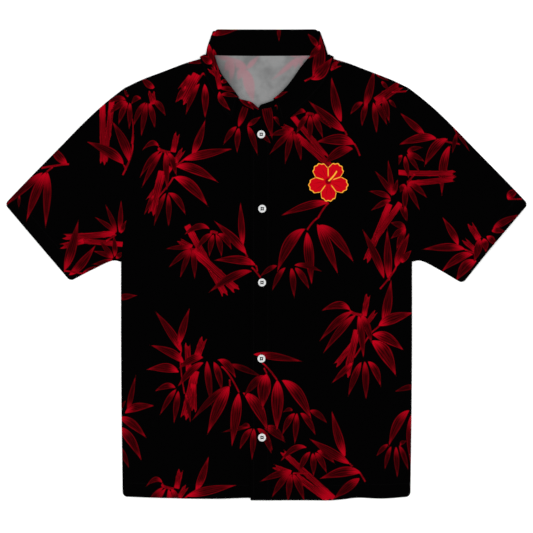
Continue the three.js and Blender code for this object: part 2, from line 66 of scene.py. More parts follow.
def run_along(points):
    """Millimetres from the first point to every point, along the row."""
    return np.concatenate([[0], np.cumsum(np.linalg.norm(np.diff(points, axis=0), axis=1))])


def curve_through(rows):
    """A centripetal Catmull-Rom curve through the rows, as a function of 0 to 1 by length: knots are apart by
    the square root of the distance, and each span is a cubic with its end slopes from the neighbours."""
    p = np.asarray(rows, float)
    ends = np.vstack([2 * p[0] - p[1], p, 2 * p[-1] - p[-2]])
    p0, p1, p2, p3 = ends[:-3], ends[1:-2], ends[2:-1], ends[3:]
    knot = lambda a, b: np.linalg.norm(b - a, axis=1, keepdims=True) ** 0.5
    d0, d1, d2 = knot(p0, p1), knot(p1, p2), knot(p2, p3)
    m1 = ((p1 - p0) / d0 - (p2 - p0) / (d0 + d1) + (p2 - p1) / d1) * d1
    m2 = ((p2 - p1) / d1 - (p3 - p1) / (d1 + d2) + (p3 - p2) / d2) * d1
    t = np.linspace(0, 1, 81)[None, :, None]
    span = [a[:, None, :] for a in (p1, p2, m1, m2)]
    path = (span[0] * (2 * t**3 - 3 * t**2 + 1) + span[1] * (3 * t**2 - 2 * t**3)
            + span[2] * (t**3 - 2 * t**2 + t) + span[3] * (t**3 - t**2)).reshape(-1, p.shape[1])
    length = run_along(path)
    return lambda share: np.stack(
        [np.interp(np.asarray(share) * length[-1], length, column) for column in path.T], -1)


def at_rows(rows, place):
    """Uniform Catmull-Rom: the point at a place counted in rows, so 2.5 is half way from row 2 to row 3."""
    p = np.asarray(rows, float)
    i = np.clip(np.floor(place).astype(int), 0, len(p) - 2)
    t = (np.asarray(place) - i).reshape((-1,) + (1,) * (p.ndim - 1))
    before = np.where((i > 0).reshape(t.shape), p[i - 1], 2 * p[i] - p[i + 1])
    after = np.where((i < len(p) - 2).reshape(t.shape), p[np.minimum(i + 2, len(p) - 1)], 2 * p[i + 1] - p[i])
    return (p[i] + 0.5 * t * (p[i + 1] - before + t * (2 * before - 5 * p[i] + 4 * p[i + 1] - after
            + t * (3 * (p[i] - p[i + 1]) + after - before))))


def joined(first, second, share):
    """Two curves end to end; the first one takes the share up to where they meet."""
    return lambda t: np.where(np.asarray(t)[..., None] < share,
                              first(np.clip(np.asarray(t) / share, 0, 1)),
                              second(np.clip((np.asarray(t) - share) / (1 - share), 0, 1)))


def straight(start, stop):
    """The straight run between two points."""
    start, stop = np.asarray(start, float), np.asarray(stop, float)
    return lambda t: start + (stop - start) * np.asarray(t)[..., None]


def mirrored(curve):
    """The curve seen in a mirror, left for right."""
    return lambda t: curve(t) * np.array([-1.0, 1.0])


def patch(bottom, top, inner, outer):
    """A Coons patch: the two ruled surfaces between opposite edges, less the flat one through the corners."""
    c = [bottom(np.array(0.0)), bottom(np.array(1.0)), top(np.array(0.0)), top(np.array(1.0))]

    def plan(u, v):
        uu, vv = u[..., None], v[..., None]
        ruled = bottom(u) * (1 - vv) + top(u) * vv + inner(v) * (1 - uu) + outer(v) * uu
        flat = (c[0] * (1 - uu) + c[1] * uu) * (1 - vv) + (c[2] * (1 - uu) + c[3] * uu) * vv
        return ruled - flat

    return plan


print("curves:", curve_through([(0, 0), (10, 5), (20, 0)])(np.array([0.0, 0.5, 1.0])).round(2).tolist())

# %% [markdown]
# ## The cut
# These are the measures that the CAD solids were drawn from. The shirt lies on its back: +Y runs from hem to
# neck and +X to the right as one looks down on the fronts. Pieces are named from the wearer's side, so the
# left front lies at +X. Neighbours are only a hair apart here, where the stiff solids needed more room.

# %% Measures of the cut, in millimetres
WALL, STIFF_WALL = 1.2, 1.5
HEM_DEPTH = 21  # from the edge of a hem or cuff to its stitches
HAIR = 0.08
LAYER_GAP = 0.4
HEM_HALF_WIDTH, CHEST_HALF_WIDTH, BACK_HEM_Y = 241.5, 245.5, -391.5
NECK_POINT, SHOULDER_POINT, UNDERARM_POINT = (100, 354.6), (238, 296.4), (244.4, 5.5)
ARMHOLE = [(244.4, 5.5), (242.4, 30), (234.9, 78), (227.2, 104), (222.2, 146), (222.2, 205), (225.6, 258),
           (229.6, 279), (238, 296.4)]
SHOULDER = [(100, 354.6), (112, 348.2), (150, 336.6), (176.2, 327.6), (207, 314.2), (238, 296.4)]
HEM_LEFT = [(7.6, -399.1), (60, -399.1), (108, -399), (130, -397.4), (153, -394.8), (194, -396.2),
            (241.5, -392.8)]
HEM_RIGHT = [(10, -395), (-28, -395), (-90, -396.6), (-139, -396.2), (-241.5, -392.8)]
PLACKET_OUTER_X, PLACKET_INNER_X, UNDERLAP_X, PLACKET_HEM_Y, PLACKET_TOP_Y = -27.8, 7.3, 10, -399.1, 263.6
CUFF_TOP, CUFF_BOTTOM, SLEEVE_TOP_BULGE, SLEEVE_LOFT = (440.9, 103.6), (329.4, -27.5), 4.2, 2.6
SLEEVE_UNDER = [(244.8, 5.5), (258, 7.5), (292, -7.5), (329.4, -27.5)]
UNDERARM_SHARE, FRONT_NECK_SHARE = 0.56, 0.46
print("chest, half round:", 2 * CHEST_HALF_WIDTH, "mm")

# %% Rows of the collar: where it is sewn on, where it folds and where its edge lies
STATIONS_RIGHT = [
    ((-6, 261), (-6, 264.5, 2.2), None),
    ((-15, 262), (-14.5, 267.5, 2.3), None),
    ((-26, 264.6), (-25.5, 276.8, 2.8), None),
    ((-38, 269), (-36.5, 280, 3.9), None),
    ((-51, 274.5), (-48.5, 284, 5.0), (-57.5, 240)),
    ((-65, 284), (-58.5, 297.3, 5.8), (-74, 262)),
    ((-77, 297), (-67.6, 309.3, 6.2), (-87, 283)),
    ((-87.5, 313), (-78.7, 323.9, 6.4), (-98, 303)),
    ((-94.5, 331), (-86, 340.5, 6.4), (-105.5, 322)),
    ((-97.8, 345), (-90, 357, 6.3), (-110, 336)),
    ((-99.2, 352), (-88.6, 377, 6.2), (-112.4, 343.5)),
]
STATIONS_BACK = [
    ((-92, 355.7), (-81.5, 396.2, 2.8), (-103, 345.8)),
    ((-80, 355.9), (-75, 397.2, 2.8), (-90, 346.8)),
    ((-42, 355.7), (-40, 397.3, 2.8), (-44, 348)),
]
STATION_MIDDLE = ((0, 355.5), (0, 397.3, 2.8), (0, 348.3))
STATIONS_LEFT = [
    ((99.2, 352), (85, 377, 6.2), (112.4, 343.5)),
    ((97, 344), (76.8, 357, 6.3), (110, 336)),
    ((91, 331), (67.5, 345.5, 6.5), (106, 325)),
    ((81, 317), (57.9, 333.7, 6.5), (99, 312)),
    ((67, 302.5), (48, 319.5, 6.4), (88, 297)),
    ((50, 289), (37.3, 305, 6.3), (71, 279)),
    ((32, 277.5), (24.5, 291.5, 6.2), (48, 257.5)),
    ((16, 270.3), (11.8, 280.9, 6.1), (22.4, 234.5)),
    ((7.45, 267.8), (4.5, 277.5, 5.4), None),
    ((-4, 265.8), (-4.5, 274.5, 4.6), None),
    ((-11, 264.8), (-10.5, 272.3, 4.1), None),
    ((-14.8, 264.4), (-14.5, 267, 3.9), None),
]
LEAF_OFFSET, LEAF_UNDER_Z = 1.8, 0.95
CREASE_ANGLES = [90, 54, 18, -18, -54, -90]
SEAM_TURN = (99.4, 355.6, 0.925, 0.38, 1.35, 2.8)
FOLD_TURN = (84.8, 393, 0.925, 0.38, 1.75, 2.8)
EDGE_TURN = (112.6, 348.3, 0.33, 0.944, 2.85, 1.0)
print("collar rows:", len(STATIONS_RIGHT) + len(STATIONS_LEFT) + 2 * len(STATIONS_BACK) + 1 + 12)

# %% [markdown]
# ## Heights and creases
# Cloth that is laid out by hand keeps a few long soft folds, where it was pulled from the underarm or the
# shoulder. Each is given as a ridge: how high it is fades in and out along its line with a sine, and
# falls off to both sides like a bell. A cloth simulation would put them anywhere, so it isn't used.

# %% The long creases, each from one point to another with its half width and height
CREASES = [
    (228, 16, 112, 104, 19, 3.4), (214, 142, 136, 208, 17, 2.4), (156, 308, 122, 190, 18, 1.7),
    (206, -50, 148, -262, 25, 2.6), (108, -470, 92, -226, 22, 3.0), (226, -196, 192, -352, 17, 1.9),
    (66, 84, 84, -128, 22, 1.7), (-226, 22, -96, 88, 18, 2.9), (-212, 166, -146, 238, 16, 2.1),
    (-92, 206, -112, 44, 21, 1.8), (-178, -30, -118, -240, 26, 2.3), (-62, -466, -90, -236, 21, 2.8),
    (-190, -468, -202, -268, 18, 2.2), (262, 34, 348, 108, 15, 2.2), (286, 214, 352, 116, 17, 1.9),
    (236, 196, 300, 128, 15, 1.5), (-266, 28, -340, 84, 15, 2.4), (-272, 222, -346, 138, 18, 1.7),
    (-240, 150, -296, 82, 15, 1.6),
]


def relief(x, y):
    """Sum of the ridges, sin^1.5 along and a bell across, flat beside the button stand and near the collar."""
    total = np.zeros_like(x)
    for x0, y0, x1, y1, width, height in CREASES:
        run = math.hypot(x1 - x0, y1 - y0)
        along = np.clip(((x - x0) * (x1 - x0) + (y - y0) * (y1 - y0)) / run**2, 0, 1)
        across = ((x - x0) * (y1 - y0) - (y - y0) * (x1 - x0)) / run / width
        total += height * np.sin(np.pi * along).clip(0) ** 1.5 * np.exp(-across * across)
    off_band = 1 - np.exp(-(((x + 10) / 48) ** 4))
    near_collar = smoothstep(196, 236, y) * (1 - smoothstep(118, 148, np.abs(x)))
    return total * off_band * (1 - near_collar)


def back_bottom(x, y):
    """The back lies on the surface, and rises over the collar leaf that is folded under it."""
    return 2.2 * smoothstep(284, 338, y) * (1 - smoothstep(114, 170, np.abs(x)))


def upper_bottom(x, y):
    """The upper layer: a wall and a gap above the back, with the creases, and loose at the neck point."""
    reach = np.hypot(np.abs(x) - NECK_POINT[0], y - NECK_POINT[1]) / 30
    return back_bottom(x, y) + WALL + LAYER_GAP + 1.1 * np.exp(-reach * reach) + relief(x, y)


def lap_bottom(x, y):
    """The left front, which rides over the underlap beside the placket."""
    return upper_bottom(x, y) + (WALL + LAYER_GAP) * (1 - smoothstep(12, 40, x))


def placket_bottom(x, y):
    """The placket strip, a wall and a gap above the right front."""
    return upper_bottom(x, y) + WALL + LAYER_GAP


ripples = np.random.default_rng(7)
RIPPLE_TURN = ripples.uniform(0, np.pi, 22)
RIPPLE_WAVE = ripples.uniform(26, 105, 22)
RIPPLE_PHASE = ripples.uniform(0, 2 * np.pi, 22)


def ripple(x, y):
    """Small unevenness from 0 to 1: waves of 26 to 105 mm in many directions, added and levelled."""
    total = np.zeros_like(x)
    for turn, wave, phase in zip(RIPPLE_TURN, RIPPLE_WAVE, RIPPLE_PHASE):
        total += np.sin(2 * np.pi * (x * np.cos(turn) + y * np.sin(turn)) / wave + phase)
    return 0.5 + 0.5 * np.tanh(total / 4.5)


print("crease height at the left side:", round(float(relief(np.array([170.0]), np.array([60.0]))[0]), 2), "mm")

# %% [markdown]
# ## Laid out by hand
# A shirt is cut by rules and laid out by hand, which pulls it a little out of its pattern. One and the same pull
# goes through every layer here, so that nothing slides apart: the sides and cuffs are drawn out a few
# millimetres, and the shoulders and the heads of the sleeves are eased up and round.


# %% The pull of the hands that laid the shirt out
SIDE_PULL, COLLAR_PULL = (-3.6, 2.5), (-3.2, 1.6)  # to the left for x below 0, to the right for x above 0
HEAD_EASE, SHOULDER_EASE, TOP_EASE, HEM_EASE, CUFF_EASE = 7.4, 3.2, 1.3, 1.1, 3.6


def as_laid(points):
    """x moves out by a smooth step of its size, and y by bells at the sleeve head, the shoulder, one cuff corner
    and the ends of the shirt."""
    x, y = points[..., 0], points[..., 1]
    size = np.abs(x)
    sides = np.where(x < 0, *SIDE_PULL) * (smoothstep(130, 240, size) + 0.35 * smoothstep(262, 330, size))
    collar = np.where(x < 0, *COLLAR_PULL) * smoothstep(60, 84, size) * smoothstep(350, 372, y)
    head = HEAD_EASE * np.exp(-(((size - 276) / 60) ** 2)) * smoothstep(250, 375, (size + y) / math.sqrt(2))
    shoulder = SHOULDER_EASE * np.exp(-(((size - 128) / 36) ** 2)) * smoothstep(300, 340, y)
    ends = TOP_EASE * smoothstep(372, 392, y) - HEM_EASE * smoothstep(300, 388, -y)
    cuff_corner = -CUFF_EASE * np.exp(-((x - 330) ** 2 + (y + 28) ** 2) / 46**2)
    moved = np.stack([x + sides + collar, y + head + shoulder + ends + cuff_corner], -1)
    return np.concatenate([moved, points[..., 2:]], -1)


print("the left cuff's top corner moves to", as_laid(np.array([[440.9, 103.6, 0.0]])).round(1).tolist())

# %% [markdown]
# ## The bamboo print, drawn from a chart
# A printed motif follows the cloth, so it belongs to the mesh and not to the room. One way is an image on a
# UV map. Here there is no image: every leaf, culm and twig is one row of a chart with its base, tip, width and
# bend, and numpy works out for each vertex how far it is from the nearest edge and where it is on its leaf.
# The chart counts in units of 1.7 mm, rightwards and downwards, as one looks at the shirt.


# %% Rows of the chart
CHART_UNIT, CHART_MIDDLE_X, CHART_MIDDLE_Y = 1.7, 266.85, 264.95
LEAF_PEAK = 0.222  # a little over the highest value of s^0.9 (1 - s)^1.45
NO_PRINT = 6.0  # this many mm outside the nearest edge, nothing is printed


def leaf(x0, y0, x1, y1, width, bend=0.0, peak=0.85, deep=0.12):
    """A leaf from its base to its tip. bend is to the left as one walks from base to tip."""
    return ("leaf", x0, y0, x1, y1, width, bend, peak, deep)


def culm(x0, y0, x1, y1, width, bend=0.0, peak=0.72, deep=0.5):
    """A length of hollow stem, torn at its far end."""
    return ("culm", x0, y0, x1, y1, width, bend, peak, deep)


def twig(x0, y0, x1, y1, bend=0.0, width=1.5):
    """A thin stalk."""
    return ("twig", x0, y0, x1, y1, width, bend, 0.62, 0.8)


def moved(rows, dx, dy, tone=1.0):
    """The same motif at another place of the cloth."""
    return [(k, x0 + dx, y0 + dy, x1 + dx, y1 + dy, w, b, p * tone, d) for k, x0, y0, x1, y1, w, b, p, d in rows]


STAR = [
    culm(10, 0, 14.4, -20.5, 5.2), culm(12, 10, 21, -4, 4.8), culm(8, 15, -16, 50, 4.2), culm(-1, 19, -12, 64, 7),
    leaf(-9, 42, -19, 63, 4.0, 0), twig(21, 7, 8, 15, 1), twig(10, 25, -5, 45, 1),
    leaf(3, 41, -9, 74, 5.1, -1.5, 0.6), leaf(5, 42, 5.5, 77, 5.5, 0.5, 0.62), leaf(5, 41, 23, 64, 6.7, 3.5, 0.75),
    leaf(29, 3, 42.5, -33, 7.9, -1, 0.85), leaf(20, 8, 71, -3.5, 9.1, 1, 0.95),
    leaf(12.5, 15, 55.5, 30.5, 9.9, 4.5, 0.95), leaf(10, 25.5, 45.5, 55, 11.1, 5, 1.0),
    twig(-5, -4, 7, 0.5, -1, 2.6), leaf(-3, -3.5, -21, -1.5, 5.5, -6.5, 0.75), leaf(-3, -1, -23.5, 26, 5.5, -2, 0.62),
    leaf(-0.5, 0, -21.5, 36, 5.5, -1.5, 0.7),
    leaf(2, 0, 4, 39, 6.3, 0.5, 0.82), leaf(4.5, 0, 13.5, 24.5, 6.3, 1.5, 0.82),
]
CROSS = [
    culm(-26.7, -9, 12.6, 62.4, 6.2), culm(-20, 16.5, 24.5, 57, 7.5), culm(-22, 13, -37, 4.9, 5),
    twig(-20.4, 14.7, -9.8, 19, 0.5), twig(37.9, 33, 47, 43.5, 0.5), twig(42, 31, 43.5, 37, 0.5),
    twig(32, 19, 34, 23, 0),
    leaf(29.5, 11, 26.6, -34, 6.7, 0.5, 0.85), leaf(32.3, 19.6, 0, -14, 8.7, -1.5, 0.8),
    leaf(42, 31.5, -1, 26, 9.1, -4, 0.85), leaf(38.6, 37.2, -5.6, 58.5, 8.3, -4, 0.62),
    twig(-25, 14, -20, 15.5, 0, 2.6), twig(-3.5, -2, 4, -1, 1, 2.6), leaf(-24, 14.5, -49, 14.5, 4.7, -1.5, 0.55),
    leaf(-23.5, 15, -45.6, 33.7, 5.5, -1, 0.55),
    leaf(-22, 15, -34, 44.5, 5.5, -1, 0.55), leaf(-21.5, 15, -19.2, 45, 5.9, 1, 0.6),
    leaf(-3.5, -4.2, -30.2, 1, 6.3, -6, 0.75), leaf(-1.4, -0.5, -17, 14.8, 5.5, -2, 0.6),
    leaf(0, 0, -4.4, 22.5, 5.9, -1, 0.66),
    leaf(2, 0, 7.9, 23, 5.9, 1.5, 0.68), leaf(3.5, -0.5, 18, 15.8, 6.3, 3, 0.7),
]
SHORT_CROSS = [
    culm(-18.3, 0, 18, 43, 5), culm(-14, 19.8, 24, 54, 6.2), culm(-17, 15, -30, 9, 4.2),
    leaf(-3, -2, -19, 2.4, 5.6, -4.5, 0.72),
    twig(-20, 16, -15, 17.5, 0, 2.4), twig(-4, -1.4, 4, -0.8, 1, 2.4), leaf(-1.5, 0, -13.8, 18.7, 5.6, -1.5, 0.6),
    leaf(0, 0, 0.3, 26.5, 6, 0, 0.62), leaf(2, 0, 13, 23, 6, 1.5, 0.64), leaf(3.5, -0.6, 22, 13.8, 6, 2.6, 0.7),
    leaf(-19.5, 16.6, -41, 20.4, 6, -1.5, 0.55), leaf(-19, 17, -40.6, 39, 6, -1, 0.52),
    leaf(-17.8, 17, -25, 49, 6.4, -0.5, 0.55),
    leaf(-16.8, 16.6, -8.4, 47.5, 6, 1.5, 0.58), leaf(31.6, 6.4, 21.2, -40, 9, 1.5, 0.78),
    leaf(35, 16, -2.5, -15.4, 9.5, 0.5, 0.78),
    leaf(44.6, 29.5, 5, 26.8, 11.5, -4.5, 0.8), leaf(43.5, 33.6, 12, 50, 10, -4, 0.62), twig(35, 15.5, 37, 20, 0),
    twig(44, 28, 50, 40.5, 0.5),
]
SPRIG = [
    twig(-18, -20, 0, 6, 2), twig(-9.4, -7, -9, 0, 0), leaf(-9, 0, -47.5, 34.5, 7.1, -3, 0.45, 0.1),
    leaf(-9.3, 0, -32, 48.5, 11.8, -1.5, 0.82), leaf(-0.3, 6.5, -7.3, 61, 10.7, 0, 0.85),
    leaf(3.5, 6.5, 29.2, 46.5, 11.9, 5, 0.88),
]
FAN = [
    leaf(-3.5, -1.5, -14, -0.5, 3.8, -2.5, 0.5), leaf(-1.6, 0.4, -14.5, 22, 6.3, -2, 0.62),
    leaf(0, 0, -2, 32, 6.3, 0, 0.62),
    leaf(3, 0, 19, 23, 6.7, 2.5, 0.62), leaf(12, -2, 31, 11, 6.3, 2.5, 0.5),
]
print("motifs:", [len(rows) for rows in (STAR, CROSS, SHORT_CROSS, SPRIG, FAN)], "rows")

# %% The chart of the fronts
FOOT = [
    culm(334, 498.5, 280.6, 450.4, 5.2), culm(328.5, 500, 292.4, 473.6, 6.2), culm(291, 472.8, 271.6, 466, 4.6),
    twig(293, 473.2, 308, 473.6, 0, 1.4), twig(349.5, 463.5, 352.5, 466.5), twig(358.4, 471.6, 365.4, 482, 0.5),
    leaf(308, 448.8, 280.2, 462, 6.2, -6, 0.72), leaf(310.4, 452, 298.5, 473, 6.2, -1.5, 0.6),
    leaf(312.6, 453, 313.5, 477, 6.2, 0.5, 0.62),
    leaf(314.8, 452.6, 327, 473.7, 6.4, 1.5, 0.64), leaf(316.5, 451.4, 335.2, 464.2, 6.6, 3, 0.7),
    leaf(290.6, 472.6, 259.7, 481.8, 6.4, -2, 0.6), leaf(290.4, 473.6, 271.6, 498, 6.8, -2, 0.56),
    leaf(291.2, 474, 287.8, 503, 6.4, -0.5, 0.55),
    leaf(292.4, 474.2, 304.6, 502, 7, 1.5, 0.58), leaf(345.4, 456.6, 331.4, 409.7, 9, 1, 0.78),
    leaf(349.8, 464, 308, 438, 9, 0, 0.78),
    leaf(361, 473.5, 318.9, 479.1, 10.5, -4, 0.8), leaf(359.7, 478.4, 333, 499.5, 9.2, -0.5, 0.62),
]
FRONTS = (
    moved(STAR, 163, 152) + moved(STAR, 166.5, 488.5) + moved(CROSS, 213.7, 234.4)
    + moved(SHORT_CROSS, 310, 115.4, 0.95) + FOOT
    + [  # the star at the right, wider than the others
        culm(364, 316, 368.2, 292.6, 5), culm(365, 326, 376.8, 310, 4.2), culm(353, 344, 334.6, 367, 5.2),
        culm(357, 330, 346, 378, 6.4),
        leaf(353, 362, 331.6, 383.4, 6, 0, 0.8), twig(371, 333, 354, 358, 0, 1.4), twig(384, 322, 371, 333, 0, 1.4),
        leaf(361.4, 362, 348, 397, 7, -1, 0.62), leaf(364.6, 361, 366, 401.6, 7, 0.5, 0.64),
        leaf(367.4, 361.4, 381, 387.4, 7.5, 3, 0.78),
        leaf(383, 324, 391.4, 279, 9.5, -1, 0.85), leaf(378.6, 326, 414.6, 312.4, 11, 2, 0.95),
        leaf(372, 335, 404.4, 351, 11, 4, 0.95),
        leaf(370.4, 341, 396.4, 377, 13.5, 5, 1.0), leaf(351, 312, 320.4, 311.4, 8, -6.8, 0.8),
        leaf(353, 312, 319.2, 341.6, 7.5, -3, 0.68),
        leaf(356, 315, 323, 353.6, 7.5, -2, 0.7), leaf(358.6, 315, 363.8, 359.6, 7.5, 0.5, 0.82),
        leaf(361, 315, 372, 344, 7.5, 1.5, 0.82),
        twig(350, 311, 362, 315, -1, 2.6),
        # shoulder at the left
        leaf(154.6, 88, 141, 77, 6.7, 1), culm(153.5, 104, 150.5, 89, 6),
        leaf(142, 99, 131, 104.5, 5.5, -3.5, 0.6), leaf(145.7, 102.5, 133.2, 126.5, 5.5, -2, 0.55),
        leaf(147, 102.5, 141, 137.5, 5.9, -0.5, 0.62), leaf(148.6, 103, 155, 129.5, 5.9, 1, 0.7),
        leaf(152.4, 101, 165.6, 116.2, 6.3, 2.5, 0.6),
        # neck at the left, and both shoulders beside the collar
        leaf(208.4, 57.6, 188, 63.4, 7.4, 0, 0.6), culm(329.6, 68.2, 341, 62.4, 6.2),
        leaf(329, 57.4, 345.4, 62, 4.4, 0, 0.85),
        culm(190.8, 76, 179, 91.5, 5), culm(197, 74, 181, 104, 8.5), leaf(187, 86, 175.2, 103, 4.7, -1, 0.85),
        leaf(200, 83.5, 185.6, 115.2, 5.9, -2, 0.7), leaf(204.6, 83.8, 204.9, 119.5, 7.1, 0.5, 0.85),
        twig(203, 73, 219.6, 100.4, 1.5), twig(203, 73, 198, 80, 0),
        leaf(220, 88, 237, 93, 5.5, 1, 0.5), leaf(219.4, 92, 240, 97.5, 4.7, 1, 0.6),
        leaf(220.4, 92, 230.8, 110.2, 5.9, -3.5, 0.85),
        # top of the button stand
        leaf(238.3, 127, 251, 92, 7.1, 0, 0.6), leaf(247.5, 125.8, 261, 116.4, 5.1, 0, 0.62),
        leaf(236.8, 126.6, 223, 145.4, 5.5, -1.5, 0.62), leaf(238.8, 127.6, 237, 153.6, 5.9, -0.5, 0.68),
        leaf(247.3, 125.6, 257.8, 155.6, 6.3, 1, 0.6), leaf(264.3, 96, 272.4, 139.6, 10.3, 0, 0.5),
        leaf(262, 134, 271.2, 143.8, 4.0, 0, 0.55),
        leaf(272.5, 117, 280.2, 127, 4.0, 2, 0.5),
        # left edge and lower left
        leaf(116, 299.5, 137.4, 295.4, 6.3, 1, 0.7), leaf(128, 412.5, 136, 374.4, 5.5, 0.5, 0.6),
        leaf(125, 413.8, 155.6, 405.8, 8.7, 3.5, 0.8), leaf(118, 418, 147, 438.8, 8.7, 3.5, 0.85),
        leaf(116, 427, 142, 461.8, 9.5, 4, 0.8), leaf(118, 446, 129.2, 469, 5.5, 1, 0.5),
        leaf(119, 410, 126, 400, 3.2, 0, 0.6),
        # middle left: the large upright plant
        culm(188.8, 372, 187.2, 342, 5.4), culm(197, 357, 204, 336.5, 6.6), culm(195.5, 371, 183.8, 420, 7.5),
        culm(193.5, 384, 194.2, 413.5, 5), leaf(185.4, 393, 190.6, 424, 4.3, 0.5, 0.7),
        twig(181, 352, 184.5, 394, -1.5, 1.3), leaf(181.4, 352.6, 154, 309.8, 8.3, -2, 0.72),
        leaf(179.4, 345, 189.8, 307.4, 7.5, 1, 0.75), leaf(183.6, 364.4, 149.4, 345, 8.7, -4, 0.8),
        leaf(178.9, 373, 146, 369.8, 9.5, -4, 0.9), leaf(176, 388.6, 154.2, 391.8, 6.3, -4, 0.68),
        leaf(176.2, 389.4, 159.6, 415.4, 5.5, -1, 0.62), leaf(178.3, 391, 173.8, 424, 6.3, 0, 0.6),
        leaf(203.6, 358, 178.4, 369, 7.9, -3.5, 0.75), leaf(203.7, 362.6, 177.2, 387.4, 7.5, -2.5, 0.7),
        leaf(229.6, 364.6, 262.4, 377, 6.3, 1, 0.32, 0.1), leaf(207, 361, 211.8, 406, 7.1, -0.5, 0.66),
        leaf(213.5, 362, 222, 392, 7.1, 1.5, 0.68), leaf(217.4, 360, 236.2, 379.2, 7.5, 4, 0.75),
    ]
    + moved(FAN, 253.9, 428.4) + moved([leaf(-4, -1, -32, 4, 4.0, -1, 0.5)], 253.9, 428.4)
    + [leaf(262, 432, 271.6, 454.2, 5.5, 1, 0.55), leaf(264.6, 428.6, 286, 443.2, 6.3, 2, 0.5)]
    + moved(FAN, 296.8, 413) + moved(SPRIG, 239, 386.5)
    + [leaf(264.6, 375.5, 243.6, 397, 8, -2, 0.45, 0.1), leaf(266.8, 374, 262.4, 409.4, 14, -1, 0.8),
    twig(264, 368, 266.7, 373.5),
       leaf(277.2, 380, 276.6, 432.5, 12.8, 0.5, 0.85), leaf(281.4, 380.5, 312, 421, 12, 5, 0.85),
       leaf(253.6, 354.4, 304, 361.8, 7.9, 1, 0.8, 0.1), twig(262, 363, 277, 380, 1),
       # chest and belly at the right
       twig(329, 203, 318, 218, -1), twig(318, 218, 307, 230, -1), leaf(329, 203, 279.5, 216.2, 8.3, -3, 0.85),
       leaf(306, 229, 277, 273, 11.9, -6, 0.72), leaf(307, 232, 312, 286.5, 10.3, 0, 0.78),
       leaf(317, 224, 338.5, 275.5, 10.3, 1, 0.78),
       leaf(319, 225, 354.5, 263.5, 10.3, 4, 0.8), leaf(277.3, 265.8, 260, 276.6, 5.1, -1.5, 0.5),
       leaf(285.7, 267.6, 272, 291.2, 5.5, -2, 0.6), leaf(291.3, 267.6, 294.2, 299, 6.3, 0.5, 0.65),
       leaf(294.3, 267.6, 309.8, 290.6, 6.3, 2, 0.62), leaf(294, 265.6, 323, 272, 5.1, 2.5, 0.6),
       # shoulder at the right
       leaf(364.4, 106.8, 374.5, 68, 8.3, -1, 0.6), leaf(363.4, 102.4, 350, 115, 5.5, -2, 0.55),
       leaf(367.8, 103, 361.8, 127.2, 5.9, -1.5, 0.6), leaf(373.4, 102.4, 376.8, 134.8, 5.9, 0.5, 0.68),
       leaf(375.4, 101.6, 387.4, 126, 5.5, 1, 0.55), culm(376.2, 101.4, 402, 83.4, 8.5, 0, 0.55, 0.35),
       leaf(383.6, 97, 389.5, 122.8, 6.7, 0, 0.66), leaf(389, 99.5, 396.6, 108, 3.6, 0, 0.5),
       twig(392, 92, 408, 91, 0),
       leaf(376, 73.6, 390, 81, 3.6, 0, 0.7), leaf(381.4, 81, 389, 90, 4.0, 0, 0.6),
       # the upright plant along the right armhole
       culm(389.6, 204, 365.5, 263, 6), culm(400.5, 203, 373, 242, 5.4),
       leaf(383.8, 278.4, 361.6, 227.6, 7.9, -1.5, 0.62),
       leaf(389.4, 281, 387.2, 227.6, 8.3, 0.5, 0.78), leaf(396, 267.4, 410, 232, 8.7, 1, 0.85),
       leaf(401.8, 263, 412, 250, 6.3, 1, 0.85),
       twig(396, 267, 380, 289, 1), leaf(405.6, 228, 389.8, 222.4, 6.7, -1, 0.5),
       leaf(405.8, 228.4, 390.6, 239, 6.3, -1, 0.6),
       leaf(406, 229, 396.4, 250, 6.3, -1, 0.7), leaf(400, 204.6, 407, 222, 4.0, 0, 0.6),
       leaf(392, 196, 374.2, 170.2, 5.5, -1.5, 0.6),
       leaf(392.6, 195, 388, 159, 5.5, 0, 0.6), leaf(390.6, 199, 368.2, 191, 5.9, -2, 0.6),
       leaf(391.2, 200, 371, 210.6, 5.5, -1, 0.62),
       leaf(393.4, 195, 398, 178.6, 4.7, 0, 0.75),
       # right edge
       leaf(417, 387, 394.2, 392, 5.5, -1.5, 0.45), leaf(410, 410.4, 388.4, 447.4, 9.5, -4, 0.75),
       leaf(413, 413, 411.4, 468, 7.9, -2, 0.75),
       leaf(388.4, 444.4, 376.2, 456.6, 4.7, -1, 0.5), leaf(391.4, 446.4, 384.6, 471, 4.7, -1, 0.55),
       leaf(396, 446.4, 397.6, 479.2, 5.5, 0, 0.6),
       leaf(399, 445.6, 408.6, 471, 5.1, 1, 0.55), leaf(400.4, 445.8, 407, 441, 4.0, 1.5, 0.6)]
)
print("rows on the fronts:", len(FRONTS))

